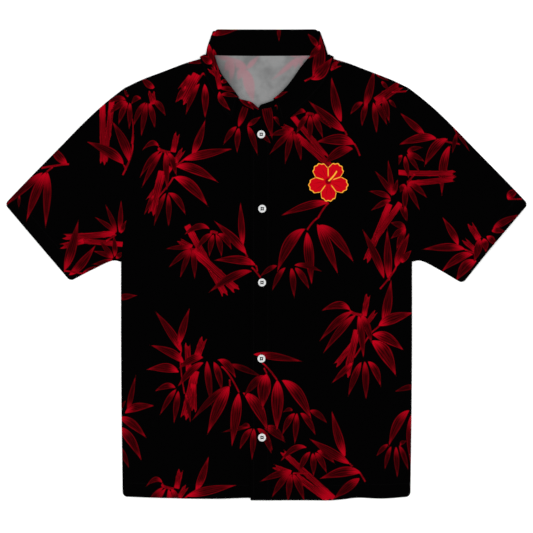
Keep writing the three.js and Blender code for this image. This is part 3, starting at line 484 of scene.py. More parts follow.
# %% The charts of the sleeves, the collar and the back
SLEEVE_RIGHT = [
    culm(102.3, 104, 103, 166, 5.6), culm(111.8, 101, 107.5, 141, 5), culm(111, 100, 105.5, 164, 3.6),
    leaf(128.3, 97, 124, 89.5, 3.2),
    leaf(126, 100, 107.5, 103, 5.5, -3, 0.7), leaf(127, 101.5, 109.5, 114, 6, -2, 0.68),
    leaf(128, 102, 118.3, 125, 6.3, -1.5, 0.72),
    leaf(129.8, 102.5, 129, 129.5, 5.6, 0.5, 0.7), twig(133, 119, 132, 144, 1, 2.2),
    twig(132, 143, 122.6, 175, 2.5, 1.6),
    leaf(123.3, 164.6, 85.5, 141.2, 10, -3.5, 0.66), leaf(128.6, 162, 111.3, 119.8, 9.5, -3, 0.66),
    twig(124, 165, 126, 170, 0),
    leaf(67.2, 164.4, 48, 143, 8.7, 1, 0.85), twig(69, 164.2, 41, 168, -0.5, 1.8), twig(52.6, 167, 46.8, 171.6, 0),
    leaf(42.6, 172.6, 4, 207, 7.9, -1, 0.7), leaf(46.4, 172, 26, 222.4, 9.5, -2, 0.8),
    leaf(47.4, 172, 45.4, 229, 8.3, 0.5, 0.78),
    leaf(19.2, 195, 18.6, 208.8, 2.8, 0, 0.6),
    culm(115, 232.6, 61.8, 237, 5.6, 1), culm(123, 244.4, 79, 240.6, 4.8), culm(84, 240.8, 59.4, 247, 5.4),
    twig(106, 241, 116, 234.6), leaf(64, 270.4, 78.6, 219.2, 9.9, -1.5, 0.62),
    leaf(68.8, 275, 96, 244.4, 8.7, -2, 0.85),
    leaf(115.8, 233.2, 94.4, 216.8, 4.7, -1, 0.66), leaf(116.4, 232.4, 105, 203.6, 4.7, -0.5, 0.6),
    leaf(119.2, 232.8, 121, 198.8, 5.1, -0.5, 0.75),
    leaf(120.6, 233.2, 126.4, 219.8, 4.3, 0, 0.8), leaf(113, 258, 92.8, 251, 5.1, -1, 0.75),
    leaf(113.2, 257.6, 99, 240, 5.1, 0, 0.6),
    leaf(114.2, 256.8, 113.2, 234.4, 5.1, -1, 0.66), leaf(112.6, 258.6, 91.6, 264.4, 4.7, 1, 0.6),
    leaf(116, 258.4, 123, 251.6, 4.7, 0, 0.8),
    leaf(82, 274.6, 102, 265.4, 4.7, 1, 0.85), twig(64, 271, 84, 274, 0.5),
]
SLEEVE_LEFT = [
    leaf(425, 134.4, 399.4, 112, 7.1, 0.5, 0.72), leaf(437, 139.2, 397.2, 145.4, 9.1, -4, 0.82),
    twig(437, 139.2, 460, 144, -0.5),
    leaf(456.8, 133, 452.2, 153.8, 4.3, 0, 0.35), leaf(448.8, 139, 424, 167.4, 9.5, -5, 0.75),
    leaf(451, 145.2, 442, 196.4, 8.7, -4, 0.78),
    leaf(452, 124, 470, 152, 4.0, 0.5, 0.62), culm(396, 171.8, 457, 173, 5, -1),
    culm(407.4, 183.4, 457, 178.4, 5.2, -0.5),
    twig(415, 174, 407, 183), leaf(407, 152.6, 424, 147.4, 4.7, 2, 0.62), leaf(407.4, 153, 425.4, 162, 5.1, 1, 0.72),
    leaf(407, 154, 420, 172.4, 4.7, 0.5, 0.55), leaf(405.2, 155.8, 409, 178.8, 5.1, -0.5, 0.68),
    leaf(403, 155, 397.4, 167.6, 5.1, -2, 0.75),
    leaf(405, 184, 398.6, 194.2, 4.7, -1, 0.7), leaf(405.6, 184.4, 404.6, 214.8, 5.9, 0, 0.66),
    leaf(407.4, 184.4, 419.8, 210.2, 5.5, 0, 0.55),
    leaf(408.6, 183.8, 427.2, 198, 6.3, 2, 0.6), leaf(405, 205, 406, 228, 4.7, 0, 0.6),
    culm(478.8, 239, 469, 222.4, 6), culm(475.4, 250.4, 462.6, 238.8, 4.8),
    leaf(458.2, 245, 442.2, 216.8, 7.1, -1, 0.8),
    leaf(465.2, 249.6, 421.4, 249.6, 8.3, -2.5, 0.85), twig(465, 249.6, 474, 253),
    leaf(473.6, 255, 441, 272.4, 8.7, -4.5, 0.85),
    leaf(477, 261, 456, 281.4, 11.1, -4, 0.85), leaf(492.8, 229.6, 521, 214, 7.1, 1.5, 0.7),
    leaf(491.4, 231.2, 506, 231.8, 5.5, 1, 0.9),
    leaf(486.4, 236.4, 496.4, 246.4, 6.7, 1.5, 0.95), leaf(483.6, 238.4, 486, 252.4, 7.1, 0.5, 0.95),
    leaf(480, 238.4, 474, 262.4, 7.9, 0.5, 0.75),
    leaf(507.6, 199, 519, 188, 7.9, 1, 0.95), twig(507.6, 199, 522, 199, 0),
]
COLLAR_LEAF = [
    leaf(211.6, 35.4, 239, 29.2, 6.5, 1, 0.75), leaf(278.9, 26, 278.9, 41.6, 3.8, 0, 0.72),
    leaf(317.8, 47, 307.4, 33, 5.4, -0.5, 0.66),
    leaf(312.6, 77.2, 320.6, 34.4, 12.5, -3.5, 0.62), leaf(320.4, 44.4, 308, 59, 7, 1, 0.85),
    leaf(311.4, 79.4, 332.4, 57.4, 12, -2, 0.85),
    twig(304.4, 81.2, 314, 76.6), leaf(209, 44, 216, 72, 6, -1, 0.9), leaf(213.4, 49, 217.8, 70, 4.5, 0, 0.75),
    leaf(212.4, 63.6, 199.6, 55, 7.4, 0, 0.95), culm(220, 77.6, 208, 67.4, 4.8), culm(220, 89, 215.6, 66, 4.4),
    leaf(220, 88.6, 237.8, 92.6, 5, 1.5, 0.6),
    leaf(220.6, 95, 239, 97.4, 4.4, 1.5, 0.55), leaf(219.8, 91, 231.2, 111, 6.2, -3, 0.85),
    leaf(221, 82, 228.6, 80.6, 4, 0, 0.85),
    leaf(238.4, 96.6, 254, 110, 8, 1.5, 0.55), leaf(247, 101.6, 259.4, 110.2, 4, 1, 0.72),
    leaf(274.6, 98.8, 288, 91.6, 4, 1, 0.66),
    leaf(275.6, 104.6, 276.8, 111, 3, 0, 0.5),
]
BACK = [row for column, start in ((60, 96), (252, 258), (444, 96)) for step in range(-1, 3)
        for row in moved(STAR, column, start + 332 * step) + moved(CROSS, column + 51, start + 82 + 332 * step)
        + moved(SPRIG, column + 78, start + 236 + 332 * step) + moved(FAN, column + 112, start - 40 + 332 * step)]
GHOST = [
    leaf(245.6, 69, 253.6, 104, 11.6, 0, 1), leaf(246.4, 69, 260, 54.6, 5.2, 0, 1),
    leaf(246, 69.6, 231.6, 57, 8, 0, 1),
    leaf(243.6, 68, 237.2, 80.4, 8.4, 0, 1), leaf(232, 58, 224, 72.4, 7.6, 0, 1),
    leaf(232.6, 57.6, 230.8, 84, 6.4, 0, 1),
    leaf(231, 59, 215, 56, 5.4, 0, 1), leaf(297.6, 56.6, 271, 80.4, 5.2, 1, 1),
    leaf(298.6, 56.4, 293.6, 70.6, 5, 0, 1),
    leaf(300, 56.6, 301.4, 69, 5, 0, 1), leaf(301, 56.2, 311, 58.6, 4.4, 0, 1), leaf(299.6, 56, 284, 53, 4, 0, 1),
]
print("rows:", len(SLEEVE_RIGHT), len(SLEEVE_LEFT), len(COLLAR_LEAF), len(BACK), len(GHOST))


# %% From the chart to every vertex
def shape_distance(kind, x, y, x0, y0, x1, y1, width, bend):
    """Distance to the edge in mm, under 0 inside, with the share along and across. The middle line is a
    parabola of s^0.7, so it bends most near the base. Half a leaf's width goes with s^0.9 (1 - s)^1.45: it has
    a narrow stalk, is fullest at 0.38 and ends in a fine point. A culm is even, with rings and a torn end."""
    run = math.hypot(x1 - x0, y1 - y0)
    ax, ay = (x1 - x0) / run, (y1 - y0) / run
    s = ((x - x0) * ax + (y - y0) * ay) / run
    inside = np.clip(s, 0, 1)
    t = (y - y0) * ax - (x - x0) * ay - 4 * bend * inside**0.7 * (1 - inside**0.7)
    if kind == "leaf":
        half = width / 2 * inside**0.9 * (1 - inside) ** 1.45 / LEAF_PEAK
        gap = np.abs(t) - half
        past = np.abs(s - inside) * run
        gap = np.where(past > 0, np.hypot(t, past), gap)
        across = t / np.maximum(half, 0.12 * width)
    else:
        ring = np.exp(-(((s * run) % 38 - 19) / 2.5) ** 2)
        half = width / 2 * (1 + (0.14 * ring if kind == "culm" else 0))
        across = t / (width / 2)
        teeth = 8.5 * np.abs(np.cos(1.9 * across + 0.5)) if kind == "culm" else 0
        gap = np.maximum(np.abs(t) - half, np.maximum(-s * run, (s - 1) * run + teeth))
    return gap, inside, np.clip(across, -1.3, 1.3)


def printed(x, y, rows):
    """For all points at once: (along, across, number) and (peak, deep, distance). A later row lies on top."""
    place = np.zeros((len(x), 3))
    tone = np.zeros((len(x), 3))
    tone[:, 2] = NO_PRINT
    for number, (kind, x0, y0, x1, y1, width, bend, peak, deep) in enumerate(rows):
        a = ((x0 - CHART_MIDDLE_X) * CHART_UNIT, (CHART_MIDDLE_Y - y0) * CHART_UNIT)
        b = ((x1 - CHART_MIDDLE_X) * CHART_UNIT, (CHART_MIDDLE_Y - y1) * CHART_UNIT)
        margin = CHART_UNIT * (width / 2 + abs(bend)) + NO_PRINT
        near = np.flatnonzero((x > min(a[0], b[0]) - margin) & (x < max(a[0], b[0]) + margin)
                              & (y > min(a[1], b[1]) - margin) & (y < max(a[1], b[1]) + margin))
        if not len(near):
            continue
        gap, along, across = shape_distance(kind, x[near], y[near], *a, *b, CHART_UNIT * width, CHART_UNIT * bend)
        take = (gap < 0) | (gap < tone[near, 2])
        hit = near[take]
        place[hit] = np.stack([along[take], across[take], np.full(take.sum(), (number * 0.37) % 3.1)], 1)
        tone[hit, 0], tone[hit, 1] = peak, deep
        tone[near, 2] = np.minimum(tone[near, 2], gap)
    return place, tone


probe = printed(np.array([-176.0, 0.0]), np.array([150.0, 60.0]), FRONTS)[1][:, 2]
print("distance to a leaf edge at two points:", probe.round(1).tolist(), "mm")

# %% [markdown]
# ## Shells
# A piece of cloth is a thin closed wall. The side that shows is a fine grid, because the print and the creases
# live on its vertices. The side that hardly shows has every second point only, and three triangles at a time
# join the two along the rim. That keeps the outline closed and halves the faces.


# %% A closed wall between a fine grid and a grid of every second point
def quads_of(index):
    """The faces between neighbouring rows and columns of a grid of vertex numbers."""
    return np.stack([index[:-1, :-1], index[:-1, 1:], index[1:, 1:], index[1:, :-1]], -1).reshape(-1, 4)


def rim_of(fine, coarse):
    """Triangles along an edge: two runs of the fine side meet one run of the coarse side."""
    a, b, c = fine[:-2:2], fine[1:-1:2], fine[2::2]
    d, e = coarse[:-1], coarse[1:]
    return np.concatenate([np.stack([a, b, d], 1), np.stack([b, e, d], 1), np.stack([b, c, e], 1)])


def make_mesh(name, points, faces, kinds):
    """A mesh object from points in mm and a list of face arrays; kinds gives each array its material. The
    signed volume says which way the closed body faces, and all loops are turned if it is inside out."""
    points = np.asarray(points, float)
    fans = np.concatenate([f[:, [0, i, i + 1]] for f in faces for i in range(1, f.shape[1] - 1)])
    p, q, r = (points[fans[:, i]] for i in range(3))
    if np.einsum("ij,ij->i", p, np.cross(q, r)).sum() < 0:
        faces = [f[:, ::-1] for f in faces]
    mesh = bpy.data.meshes.new(name)
    mesh.vertices.add(len(points))
    mesh.vertices.foreach_set("co", (points * MM).ravel())
    sizes = np.concatenate([np.full(len(f), f.shape[1]) for f in faces])
    mesh.loops.add(int(sizes.sum()))
    mesh.loops.foreach_set("vertex_index", np.concatenate([f.ravel() for f in faces]).astype(np.int32))
    mesh.polygons.add(len(sizes))
    mesh.polygons.foreach_set("loop_start", (np.cumsum(sizes) - sizes).astype(np.int32))
    mesh.polygons.foreach_set("material_index", np.concatenate(
        [np.full(len(f), k) for f, k in zip(faces, kinds)]).astype(np.int32))
    mesh.polygons.foreach_set("use_smooth", np.ones(len(sizes), bool))
    mesh.update(calc_edges=True)
    mesh.validate()
    mesh.set_sharp_from_angle(angle=math.radians(48))
    piece = bpy.data.objects.new(name, mesh)
    bpy.context.scene.collection.objects.link(piece)
    return piece


def add_cut_coordinates(piece, place):
    """A UV map named cut, with every vertex's place on the flat cloth in metres."""
    layer = piece.data.uv_layers.new(name="cut")
    corner = np.empty(len(piece.data.loops), np.int32)
    piece.data.loops.foreach_get("vertex_index", corner)
    layer.data.foreach_set("uv", (place * MM)[corner].ravel())


def add_print(piece, place, tone):
    """The two vectors of the print as attributes of the vertices."""
    for name, value in (("leaf_place", place), ("leaf_tone", tone)):
        piece.data.attributes.new(name, "FLOAT_VECTOR", "POINT").data.foreach_set("vector", value.ravel())


def shell(name, fine, coarse, cut_fine, rows, ghost=None):
    """A wall from two grids of points: fine is the right side of the cloth, coarse the wrong side."""
    count = fine.shape[0] * fine.shape[1]
    top = np.arange(count).reshape(fine.shape[:2])
    low = count + np.arange(coarse.shape[0] * coarse.shape[1]).reshape(coarse.shape[:2])
    faces = [quads_of(top), quads_of(low)[:, ::-1]]
    edges = ((top[0], low[0], 1), (top[-1], low[-1], 0), (top[:, 0], low[:, 0], 0), (top[:, -1], low[:, -1], 1))
    for f, c, turn in edges:
        rim = rim_of(f, c)
        faces.append(rim[:, ::-1] if turn else rim)
    points = as_laid(np.concatenate([fine.reshape(-1, 3), coarse.reshape(-1, 3)]))
    piece = make_mesh(name, points, faces, [0, 1, 0, 0, 0, 0])
    cut = np.concatenate([cut_fine.reshape(-1, 2), cut_fine[::2, ::2].reshape(-1, 2)])
    add_cut_coordinates(piece, cut)
    place, tone = printed(points[:, 0], points[:, 1], rows)
    if ghost is not None:
        place[count:], tone[count:] = printed(points[count:, 0], points[count:, 1], ghost)
    add_print(piece, place, tone)
    return piece


def triangles(piece):
    """How many triangles a piece has."""
    return sum(len(p.vertices) - 2 for p in piece.data.polygons)


print("a rim of two runs has", len(rim_of(np.arange(3), np.arange(3, 5))), "triangles")

# %% [markdown]
# ## Body panels
# The two fronts and the back are flat patches between their four edges, laid on the heights above. The face
# side is up to half a millimetre thinner than the stiff solid, in soft ripples. The hem is turned up 22 mm,
# so it stays at full thickness with a step above it, and its stitching draws it in a little.


# %% Plans and face sides of the panels
def even(*parts):
    """Shares from 0 to 1 in runs: each part is (up to, number of steps)."""
    marks, start = [np.array([0.0])], 0.0
    for stop, steps in parts:
        marks.append(np.linspace(start, stop, steps + 1)[1:])
        start = stop
    return np.concatenate(marks)


def side_and_armhole(hem_point):
    """The outer edge of a panel: the side with a slight outward bow, then the armhole."""
    bow = CHEST_HALF_WIDTH - UNDERARM_POINT[0]
    line = straight(hem_point, UNDERARM_POINT)
    side = lambda t: line(t) + np.stack([bow * np.sin(np.pi * np.asarray(t)), 0 * np.asarray(t)], -1)
    return joined(side, curve_through(ARMHOLE), UNDERARM_SHARE)


def neckline_of(stations, start, side):
    """The edge of a front along the collar: through the collar's rows, a hair outside them."""
    seam = np.array([row[0] for row in stations], float)
    run = np.gradient(seam, axis=0)
    run /= np.linalg.norm(run, axis=1, keepdims=True)
    outside = seam + HAIR * side * np.stack([run[:, 1], -run[:, 0]], 1)
    rows = np.vstack([[start], outside, [[side * NECK_POINT[0], NECK_POINT[1]]]])
    return lambda t: at_rows(rows, np.asarray(t, float).ravel() * (len(rows) - 1)).reshape(np.shape(t) + (2,))


def face_drop(x, y, hem_distance, edge_distance):
    """How far the face side lies below the solid's: ripples, the step above the hem, and rounded edges."""
    above_hem = smoothstep(HEM_DEPTH, HEM_DEPTH + 2.5, hem_distance)
    wave = 0.5 + 0.5 * np.sin(2 * np.pi * x / 8.3 + 2 * np.sin(x / 31))
    pucker = wave * np.exp(-(((hem_distance - HEM_DEPTH) / 3.2) ** 2))
    rounded = 0.3 * np.exp(-((edge_distance / 1.3) ** 2))
    return above_hem * (0.12 + 0.42 * ripple(x, y)) + 0.16 * pucker + rounded


def round_corner(xy, from_side, from_end, to_side, to_end, radius=7.5):
    """A square corner becomes a quarter disc: with a and b, 1 at the two edges and 0 a radius inside, both are
    scaled by max(a, b) / hypot(a, b). to_side and to_end point out through the two edges."""
    a, b = (np.clip(1 - d / radius, 0, 1) for d in (from_side, from_end))
    shrink = (1 - np.maximum(a, b) / np.maximum(np.hypot(a, b), 1e-9)) * radius
    return xy - to_side * (a * shrink)[..., None] - to_end * (b * shrink)[..., None]


def hem_corner(xy, side):
    """The corner where the hem, the first row, meets the side seam at the left, -1, or at the right, 1."""
    outer = xy[:, -1:] if side * xy[0, -1, 0] > 0 else xy[:, :1]
    from_side, from_hem = np.abs(outer[..., 0] - xy[..., 0]), xy[..., 1] - xy[:1, :, 1]
    return round_corner(xy, from_side, from_hem, np.array([float(side), 0.0]), np.array([0.0, -1.0]))


def edge_distance_of(plan_points):
    """Millimetres to the nearest edge of the grid, by its rows and columns."""
    rows = run_along(plan_points[:, plan_points.shape[1] // 2])
    columns = run_along(plan_points[len(plan_points) // 2])
    near_row = np.minimum(rows, rows[-1] - rows)[:, None]
    near_column = np.minimum(columns, columns[-1] - columns)[None, :]
    return np.minimum(near_row, near_column), rows[:, None] + 0 * near_column


def panel(name, plan, across, up, bottom, wall, rows, drop=True, corner=0):
    """A panel that lies flat: a patch in plan, with its wall on a height function."""
    u, v = np.meshgrid(across, up)
    xy = plan(u, v)
    x, y = xy[..., 0], xy[..., 1]
    edge, from_hem = edge_distance_of(xy)
    if corner:
        xy = hem_corner(xy, corner)
        x, y = xy[..., 0], xy[..., 1]
    lower = face_drop(x, y, from_hem, edge) if drop else 0.25 * np.exp(-((edge / 1.2) ** 2))
    fine = np.dstack([x, y, bottom(x, y) + wall - lower])
    coarse = np.dstack([x, y, bottom(x, y)])[::2, ::2]
    return shell(name, fine, coarse, xy, rows)


print("steps of a share:", even((0.5, 2), (1, 2)).tolist())

# %% The fronts
PANEL_UP = even((UNDERARM_SHARE, 248), (1, 186))
ACROSS_FRONT = even((FRONT_NECK_SHARE, 70), (1, 78))
inner_x = PLACKET_INNER_X + HAIR
left_stations = [row for row in STATIONS_LEFT if row[0][0] > inner_x + 0.3][::-1]
left_neck = neckline_of(left_stations, (inner_x, 267.5), 1)
left_plan = patch(curve_through(HEM_LEFT), joined(left_neck, curve_through(SHOULDER), FRONT_NECK_SHARE),
                  straight((inner_x, PLACKET_HEM_Y), (inner_x, 267.5)),
                  side_and_armhole((HEM_HALF_WIDTH, HEM_LEFT[-1][1])))
front_left = panel("cloth_front_left", left_plan, ACROSS_FRONT, PANEL_UP, lap_bottom, WALL, FRONTS, corner=1)

right_neck = neckline_of(STATIONS_RIGHT, (UNDERLAP_X, 259.6), -1)
right_plan = patch(curve_through(HEM_RIGHT), joined(right_neck, mirrored(curve_through(SHOULDER)), FRONT_NECK_SHARE),
                   straight((UNDERLAP_X, HEM_RIGHT[0][1]), (UNDERLAP_X, 259.6)),
                   mirrored(side_and_armhole((HEM_HALF_WIDTH, HEM_RIGHT[-1][1]))))
front_right = panel("cloth_front_right", right_plan, ACROSS_FRONT, PANEL_UP, upper_bottom, WALL, FRONTS, corner=-1)
print("fronts:", triangles(front_left), triangles(front_right), "triangles")

# %% The placket strip
placket_hem = straight((PLACKET_OUTER_X, PLACKET_HEM_Y), (PLACKET_INNER_X, PLACKET_HEM_Y))
placket_top = curve_through([(PLACKET_OUTER_X, PLACKET_TOP_Y), (-15, PLACKET_TOP_Y + 0.3), (PLACKET_INNER_X, 267.5)])
placket_plan = patch(placket_hem, placket_top, straight(placket_hem(np.array(0.0)), placket_top(np.array(0.0))),
                     straight(placket_hem(np.array(1.0)), placket_top(np.array(1.0))))
placket = panel("cloth_placket", placket_plan, even((1, 26)), even((1, 440)), placket_bottom, STIFF_WALL, FRONTS,
                drop=False)
print("placket:", triangles(placket), "triangles")

# %% The back, whose face side is underneath
neck_share = NECK_POINT[0] / SHOULDER_POINT[0]
back_seams = [(0, STATION_MIDDLE[0][1] - HAIR)] + [(-row[0][0], row[0][1] - HAIR) for row in STATIONS_BACK[::-1]]
back_neck = curve_through(back_seams + [NECK_POINT])
half_top = joined(back_neck, curve_through(SHOULDER), neck_share)
half_hem = straight((0, BACK_HEM_Y - 1.5), (HEM_HALF_WIDTH, BACK_HEM_Y))


def both_halves(half):
    """A curve over the whole width from its right half."""
    return lambda u: np.where(np.asarray(u)[..., None] < 0.5, mirrored(half)(np.clip(1 - 2 * np.asarray(u), 0, 1)),
                              half(np.clip(2 * np.asarray(u) - 1, 0, 1)))


back_side = side_and_armhole((HEM_HALF_WIDTH, BACK_HEM_Y))
back_plan = patch(both_halves(half_hem), both_halves(half_top), mirrored(back_side), back_side)
u, v = np.meshgrid(even((0.5, 94), (1, 94)), even((UNDERARM_SHARE, 150), (0.86, 90), (1, 80)))
back_xy = hem_corner(hem_corner(back_plan(u, v), 1), -1)
back_x, back_y = back_xy[..., 0], back_xy[..., 1]
back_face = np.dstack([back_x, back_y, back_bottom(back_x, back_y)])
back_inside = back_bottom(back_x, back_y) + WALL - 0.45 * ripple(back_x * 1.7 + 40, back_y * 1.7)
back = shell("cloth_back", back_face, np.dstack([back_x, back_y, back_inside])[::2, ::2], back_xy, BACK, GHOST)
print("back:", triangles(back), "triangles")

# %% [markdown]
# ## Sleeves
# A short sleeve is one piece of cloth sewn into a tube at the underarm. Laid flat it has an upper and a lower
# layer and rounded folds at both sides. One ring of points goes over the top, round the fold and back beneath,
# and rings stacked from armhole to cuff make the tube. The cuff is turned in and stitched.


# %% Tubes
def sleeve_plan():
    """The flat outline of the left sleeve: top edge, under edge, armhole and cuff."""
    armhole = curve_through([(x + HAIR, y) for x, y in ARMHOLE][::-1])
    top_line = straight((SHOULDER_POINT[0] + HAIR, SHOULDER_POINT[1]), CUFF_TOP)
    bulge = lambda t: (4 * np.asarray(t) * (1 - np.asarray(t)) * SLEEVE_TOP_BULGE * math.sqrt(0.5))[..., None]
    cuff = straight(CUFF_TOP, CUFF_BOTTOM)
    return patch(lambda t: top_line(t) + bulge(t), curve_through(SLEEVE_UNDER), armhole, cuff)


sleeve_xy = sleeve_plan()
FOLD_STEPS = 8


def sleeve_rings(side, along, across, inset):
    """Rings of points over the top, round the fold, back beneath and round the other fold. Close to a fold the
    flat layers are drawn in by a bell of the distance, and the fold goes round half an ellipse in their place."""
    u, v = np.meshgrid(along, across, indexing="ij")
    xy = sleeve_xy(u, v)
    width = sleeve_xy(along, np.ones_like(along)) - sleeve_xy(along, np.zeros_like(along))
    inward = (width / np.linalg.norm(width, axis=1, keepdims=True))[:, None, :]
    x, y = side * xy[..., 0], xy[..., 1]
    loft = SLEEVE_LOFT * np.sin(np.pi * v).clip(0) * smoothstep(0.1, 0.9, u)
    height = 2 * WALL + LAYER_GAP + relief(x, y) + loft
    length = np.linalg.norm(sleeve_xy(np.ones_like(v), v) - sleeve_xy(np.zeros_like(v), v), axis=-1)
    from_cuff = (1 - u) * length
    worn = smoothstep(HEM_DEPTH, HEM_DEPTH + 2.5, from_cuff) * (0.12 + 0.4 * ripple(x + 90, y))
    worn = worn * smoothstep(0, 0.04, v) * smoothstep(0, 0.04, 1 - v)
    outside = 1.0 if inset == 0 else 0.0
    edge = 1.0 + 0.9 * inset
    draw = edge * (np.exp(-((v * 90) ** 2)) - np.exp(-(((1 - v) * 90) ** 2)))
    moved_in = xy + inward * draw[..., None]
    reach = unit(sleeve_xy(np.ones_like(v), v) - sleeve_xy(np.zeros_like(v), v))
    span = np.linalg.norm(width, axis=1)[:, None]
    for from_fold, out_way in ((v * span, -1), ((1 - v) * span, 1)):
        moved_in = round_corner(moved_in, from_fold, from_cuff, out_way * inward, reach, 6.5)
    over = np.dstack([side * moved_in[..., 0], moved_in[..., 1], height - inset - outside * worn])
    below = np.dstack([side * moved_in[..., 0], moved_in[..., 1], np.full_like(height, inset)])
    turn = np.linspace(90, -90, FOLD_STEPS + 1)[1:-1] * np.pi / 180

    def fold(column, sign):
        top, low = over[:, column], below[:, column]
        middle, half = (top[:, 2] + low[:, 2]) / 2, (top[:, 2] - low[:, 2]) / 2
        out = sign * edge * 0.95 * np.cos(turn)[None, :, None] * (inward * np.array([side, 1.0]))
        flat = top[:, None, :2] - out
        return np.dstack([flat, middle[:, None] + half[:, None] * np.sin(turn)[None, :]])

    return np.concatenate([over, fold(-1, -1), below[:, ::-1], fold(0, 1)[:, ::-1]], axis=1)


def tube(name, side, along, across, rows):
    """A closed wall between two stacks of rings, the inner one with every second point."""
    outer = sleeve_rings(side, along, across, 0.0)
    inner = sleeve_rings(side, along, across, WALL)[::2, ::2]
    count = outer.shape[0] * outer.shape[1]
    wrap = lambda index: np.concatenate([index, index[:, :1]], axis=1)
    top = wrap(np.arange(count).reshape(outer.shape[:2]))
    low = wrap(count + np.arange(inner.shape[0] * inner.shape[1]).reshape(inner.shape[:2]))
    faces = [quads_of(top), quads_of(low)[:, ::-1], rim_of(top[0], low[0])[:, ::-1], rim_of(top[-1], low[-1])]
    points = as_laid(np.concatenate([outer.reshape(-1, 3), inner.reshape(-1, 3)]))
    piece = make_mesh(name, points, faces, [0, 1, 0, 0])
    add_cut_coordinates(piece, points[:, :2])
    n = len(across)
    under = np.zeros(outer.shape[:2], bool)
    under[:, n + FOLD_STEPS // 2:-(FOLD_STEPS // 2)] = True
    under = np.concatenate([under.ravel(), under[::2, ::2].ravel()])
    place, tone = printed(points[:, 0], points[:, 1], rows)
    other_place, other_tone = printed(points[:, 0] * 0.8 + 150 * side, points[:, 1] + 190, BACK)
    place[under], tone[under] = other_place[under], other_tone[under]
    add_print(piece, place, tone)
    return piece


ALONG_SLEEVE = even((1, 116))
ACROSS_SLEEVE = np.concatenate([[0.0, 0.004], even((1, 150))[1:-1], [0.996, 1.0]])
sleeve_right = tube("cloth_sleeve_right", -1, ALONG_SLEEVE, ACROSS_SLEEVE, SLEEVE_RIGHT)
sleeve_left = tube("cloth_sleeve_left", 1, ALONG_SLEEVE, ACROSS_SLEEVE, SLEEVE_LEFT)
print("sleeves:", triangles(sleeve_right), triangles(sleeve_left), "triangles")

# %% [markdown]
# ## Collar
# A shirt collar has two pieces. The stand is a band round the neck, and the leaf is sewn to its top and turns
# down outside it. Laid flat, the collar creases at both sides of the neck: the part behind is folded under the
# back, and the parts in front lie on the fronts. Both pieces run through the same rows, from end to end.


# %% Rows of the collar in three dimensions
def one(function, x, y):
    """A height function at a single point."""
    return float(function(np.array([float(x)]), np.array([float(y)]))[0])


def turned_rows(side):
    """The rows round the crease at the side of the neck: each of the three lines goes round half a circle."""
    angle = np.radians(CREASE_ANGLES)

    def line(turn):
        x, y, out_x, out_y, radius, low = turn
        return np.stack([side * (x + out_x * radius * np.cos(angle)), y + out_y * radius * np.cos(angle),
                         low + radius * (1 + np.sin(angle))], 1)

    return np.stack([line(SEAM_TURN), line(FOLD_TURN), line(EDGE_TURN)], 1)


def laid_rows(stations, bottom):
    """Rows that lie on a front: the seam in the middle of its wall, the edge on top of it."""
    rows = []
    for seam, fold, edge in stations:
        edge = edge or (fold[0], fold[1])
        seam_z = one(bottom, *seam) + WALL / 2
        edge_z = one(bottom, *edge) + WALL + LAYER_GAP + STIFF_WALL / 2
        rows.append([[*seam, seam_z], list(fold), [*edge, edge_z]])
    return np.array(rows)


def back_rows():
    """Rows behind the neck: the leaf's edge lies under the back, on the surface."""
    half = np.array([[[*seam, one(back_bottom, *seam) + WALL / 2], list(fold), [*edge, LEAF_UNDER_Z]]
                     for seam, fold, edge in STATIONS_BACK + [STATION_MIDDLE]])
    return np.concatenate([half, half[-2::-1] * np.array([-1, 1, 1])])


collar_rows = np.concatenate([laid_rows(STATIONS_RIGHT, upper_bottom), turned_rows(-1), back_rows(),
                              turned_rows(1)[::-1], laid_rows(STATIONS_LEFT, lap_bottom)])
print("collar rows:", collar_rows.shape)


# %% A wall about a curved grid, and the stand
def wall_about(name, grid, wall, rows):
    """Half a wall to each side of a grid of points, along its normals; right side out."""
    normal = unit(np.cross(np.gradient(grid, axis=0), np.gradient(grid, axis=1)))
    out, inside = grid + normal * wall / 2, grid - normal * wall / 2
    run = run_along(grid[:, 0])
    rise = run_along(grid[len(grid) // 3])
    cut = np.dstack(np.broadcast_arrays(run[:, None], rise[None, :]))
    return shell(name, out, inside[::2, ::2], cut, rows)


count = len(collar_rows)
along_collar = np.linspace(0, count - 1, 480 + 1)
dense_rows = at_rows(collar_rows, along_collar)
share = np.linspace(0, 1, 24 + 1)[None, :, None]
stand_grid = dense_rows[:, 0][:, None] * (1 - share) + dense_rows[:, 1][:, None] * share
stand = wall_about("cloth_collar_stand", stand_grid, WALL, COLLAR_LEAF)
print("stand:", triangles(stand), "triangles")

# %% The leaf: over the top of the stand, down outside it and on to the free edge
first, last = 4, count - 1 - 4
section_rows = collar_rows[first:last + 1]
seam, fold, edge = section_rows[:, 0], section_rows[:, 1], section_rows[:, 2]
around = np.concatenate([collar_rows[first - 1:first], section_rows, collar_rows[last + 1:last + 2]])
along_fold, along_seam = (unit(around[2:, k] - around[:-2, k]) for k in (1, 0))
slant = fold - seam
rise = unit(slant - along_fold * np.einsum("ij,ij->i", slant, along_fold)[:, None])
out_at_fold, out_at_seam = unit(np.cross(slant, along_fold)), unit(np.cross(slant, along_seam))
from_fold = lambda up, out: fold + rise * up + out_at_fold * out
over_seam = seam + out_at_seam * LEAF_OFFSET
down = from_fold(-2.6, LEAF_OFFSET)
section = np.stack([from_fold(1.1, -0.6), from_fold(1.1, 0.6), from_fold(0.4, 1.6), down, (down + over_seam) / 2,
                    over_seam, over_seam + (edge - over_seam) / 3, over_seam + (edge - over_seam) * 2 / 3, edge], 1)
dense_leaf = at_rows(section, np.linspace(0, len(section) - 1, 360 + 1))
rows_down = np.concatenate([np.linspace(0, 3, 13)[1:], np.linspace(3, 8, 36)[1:]])
across_leaf = at_rows(dense_leaf.transpose(1, 0, 2), rows_down).transpose(1, 0, 2)
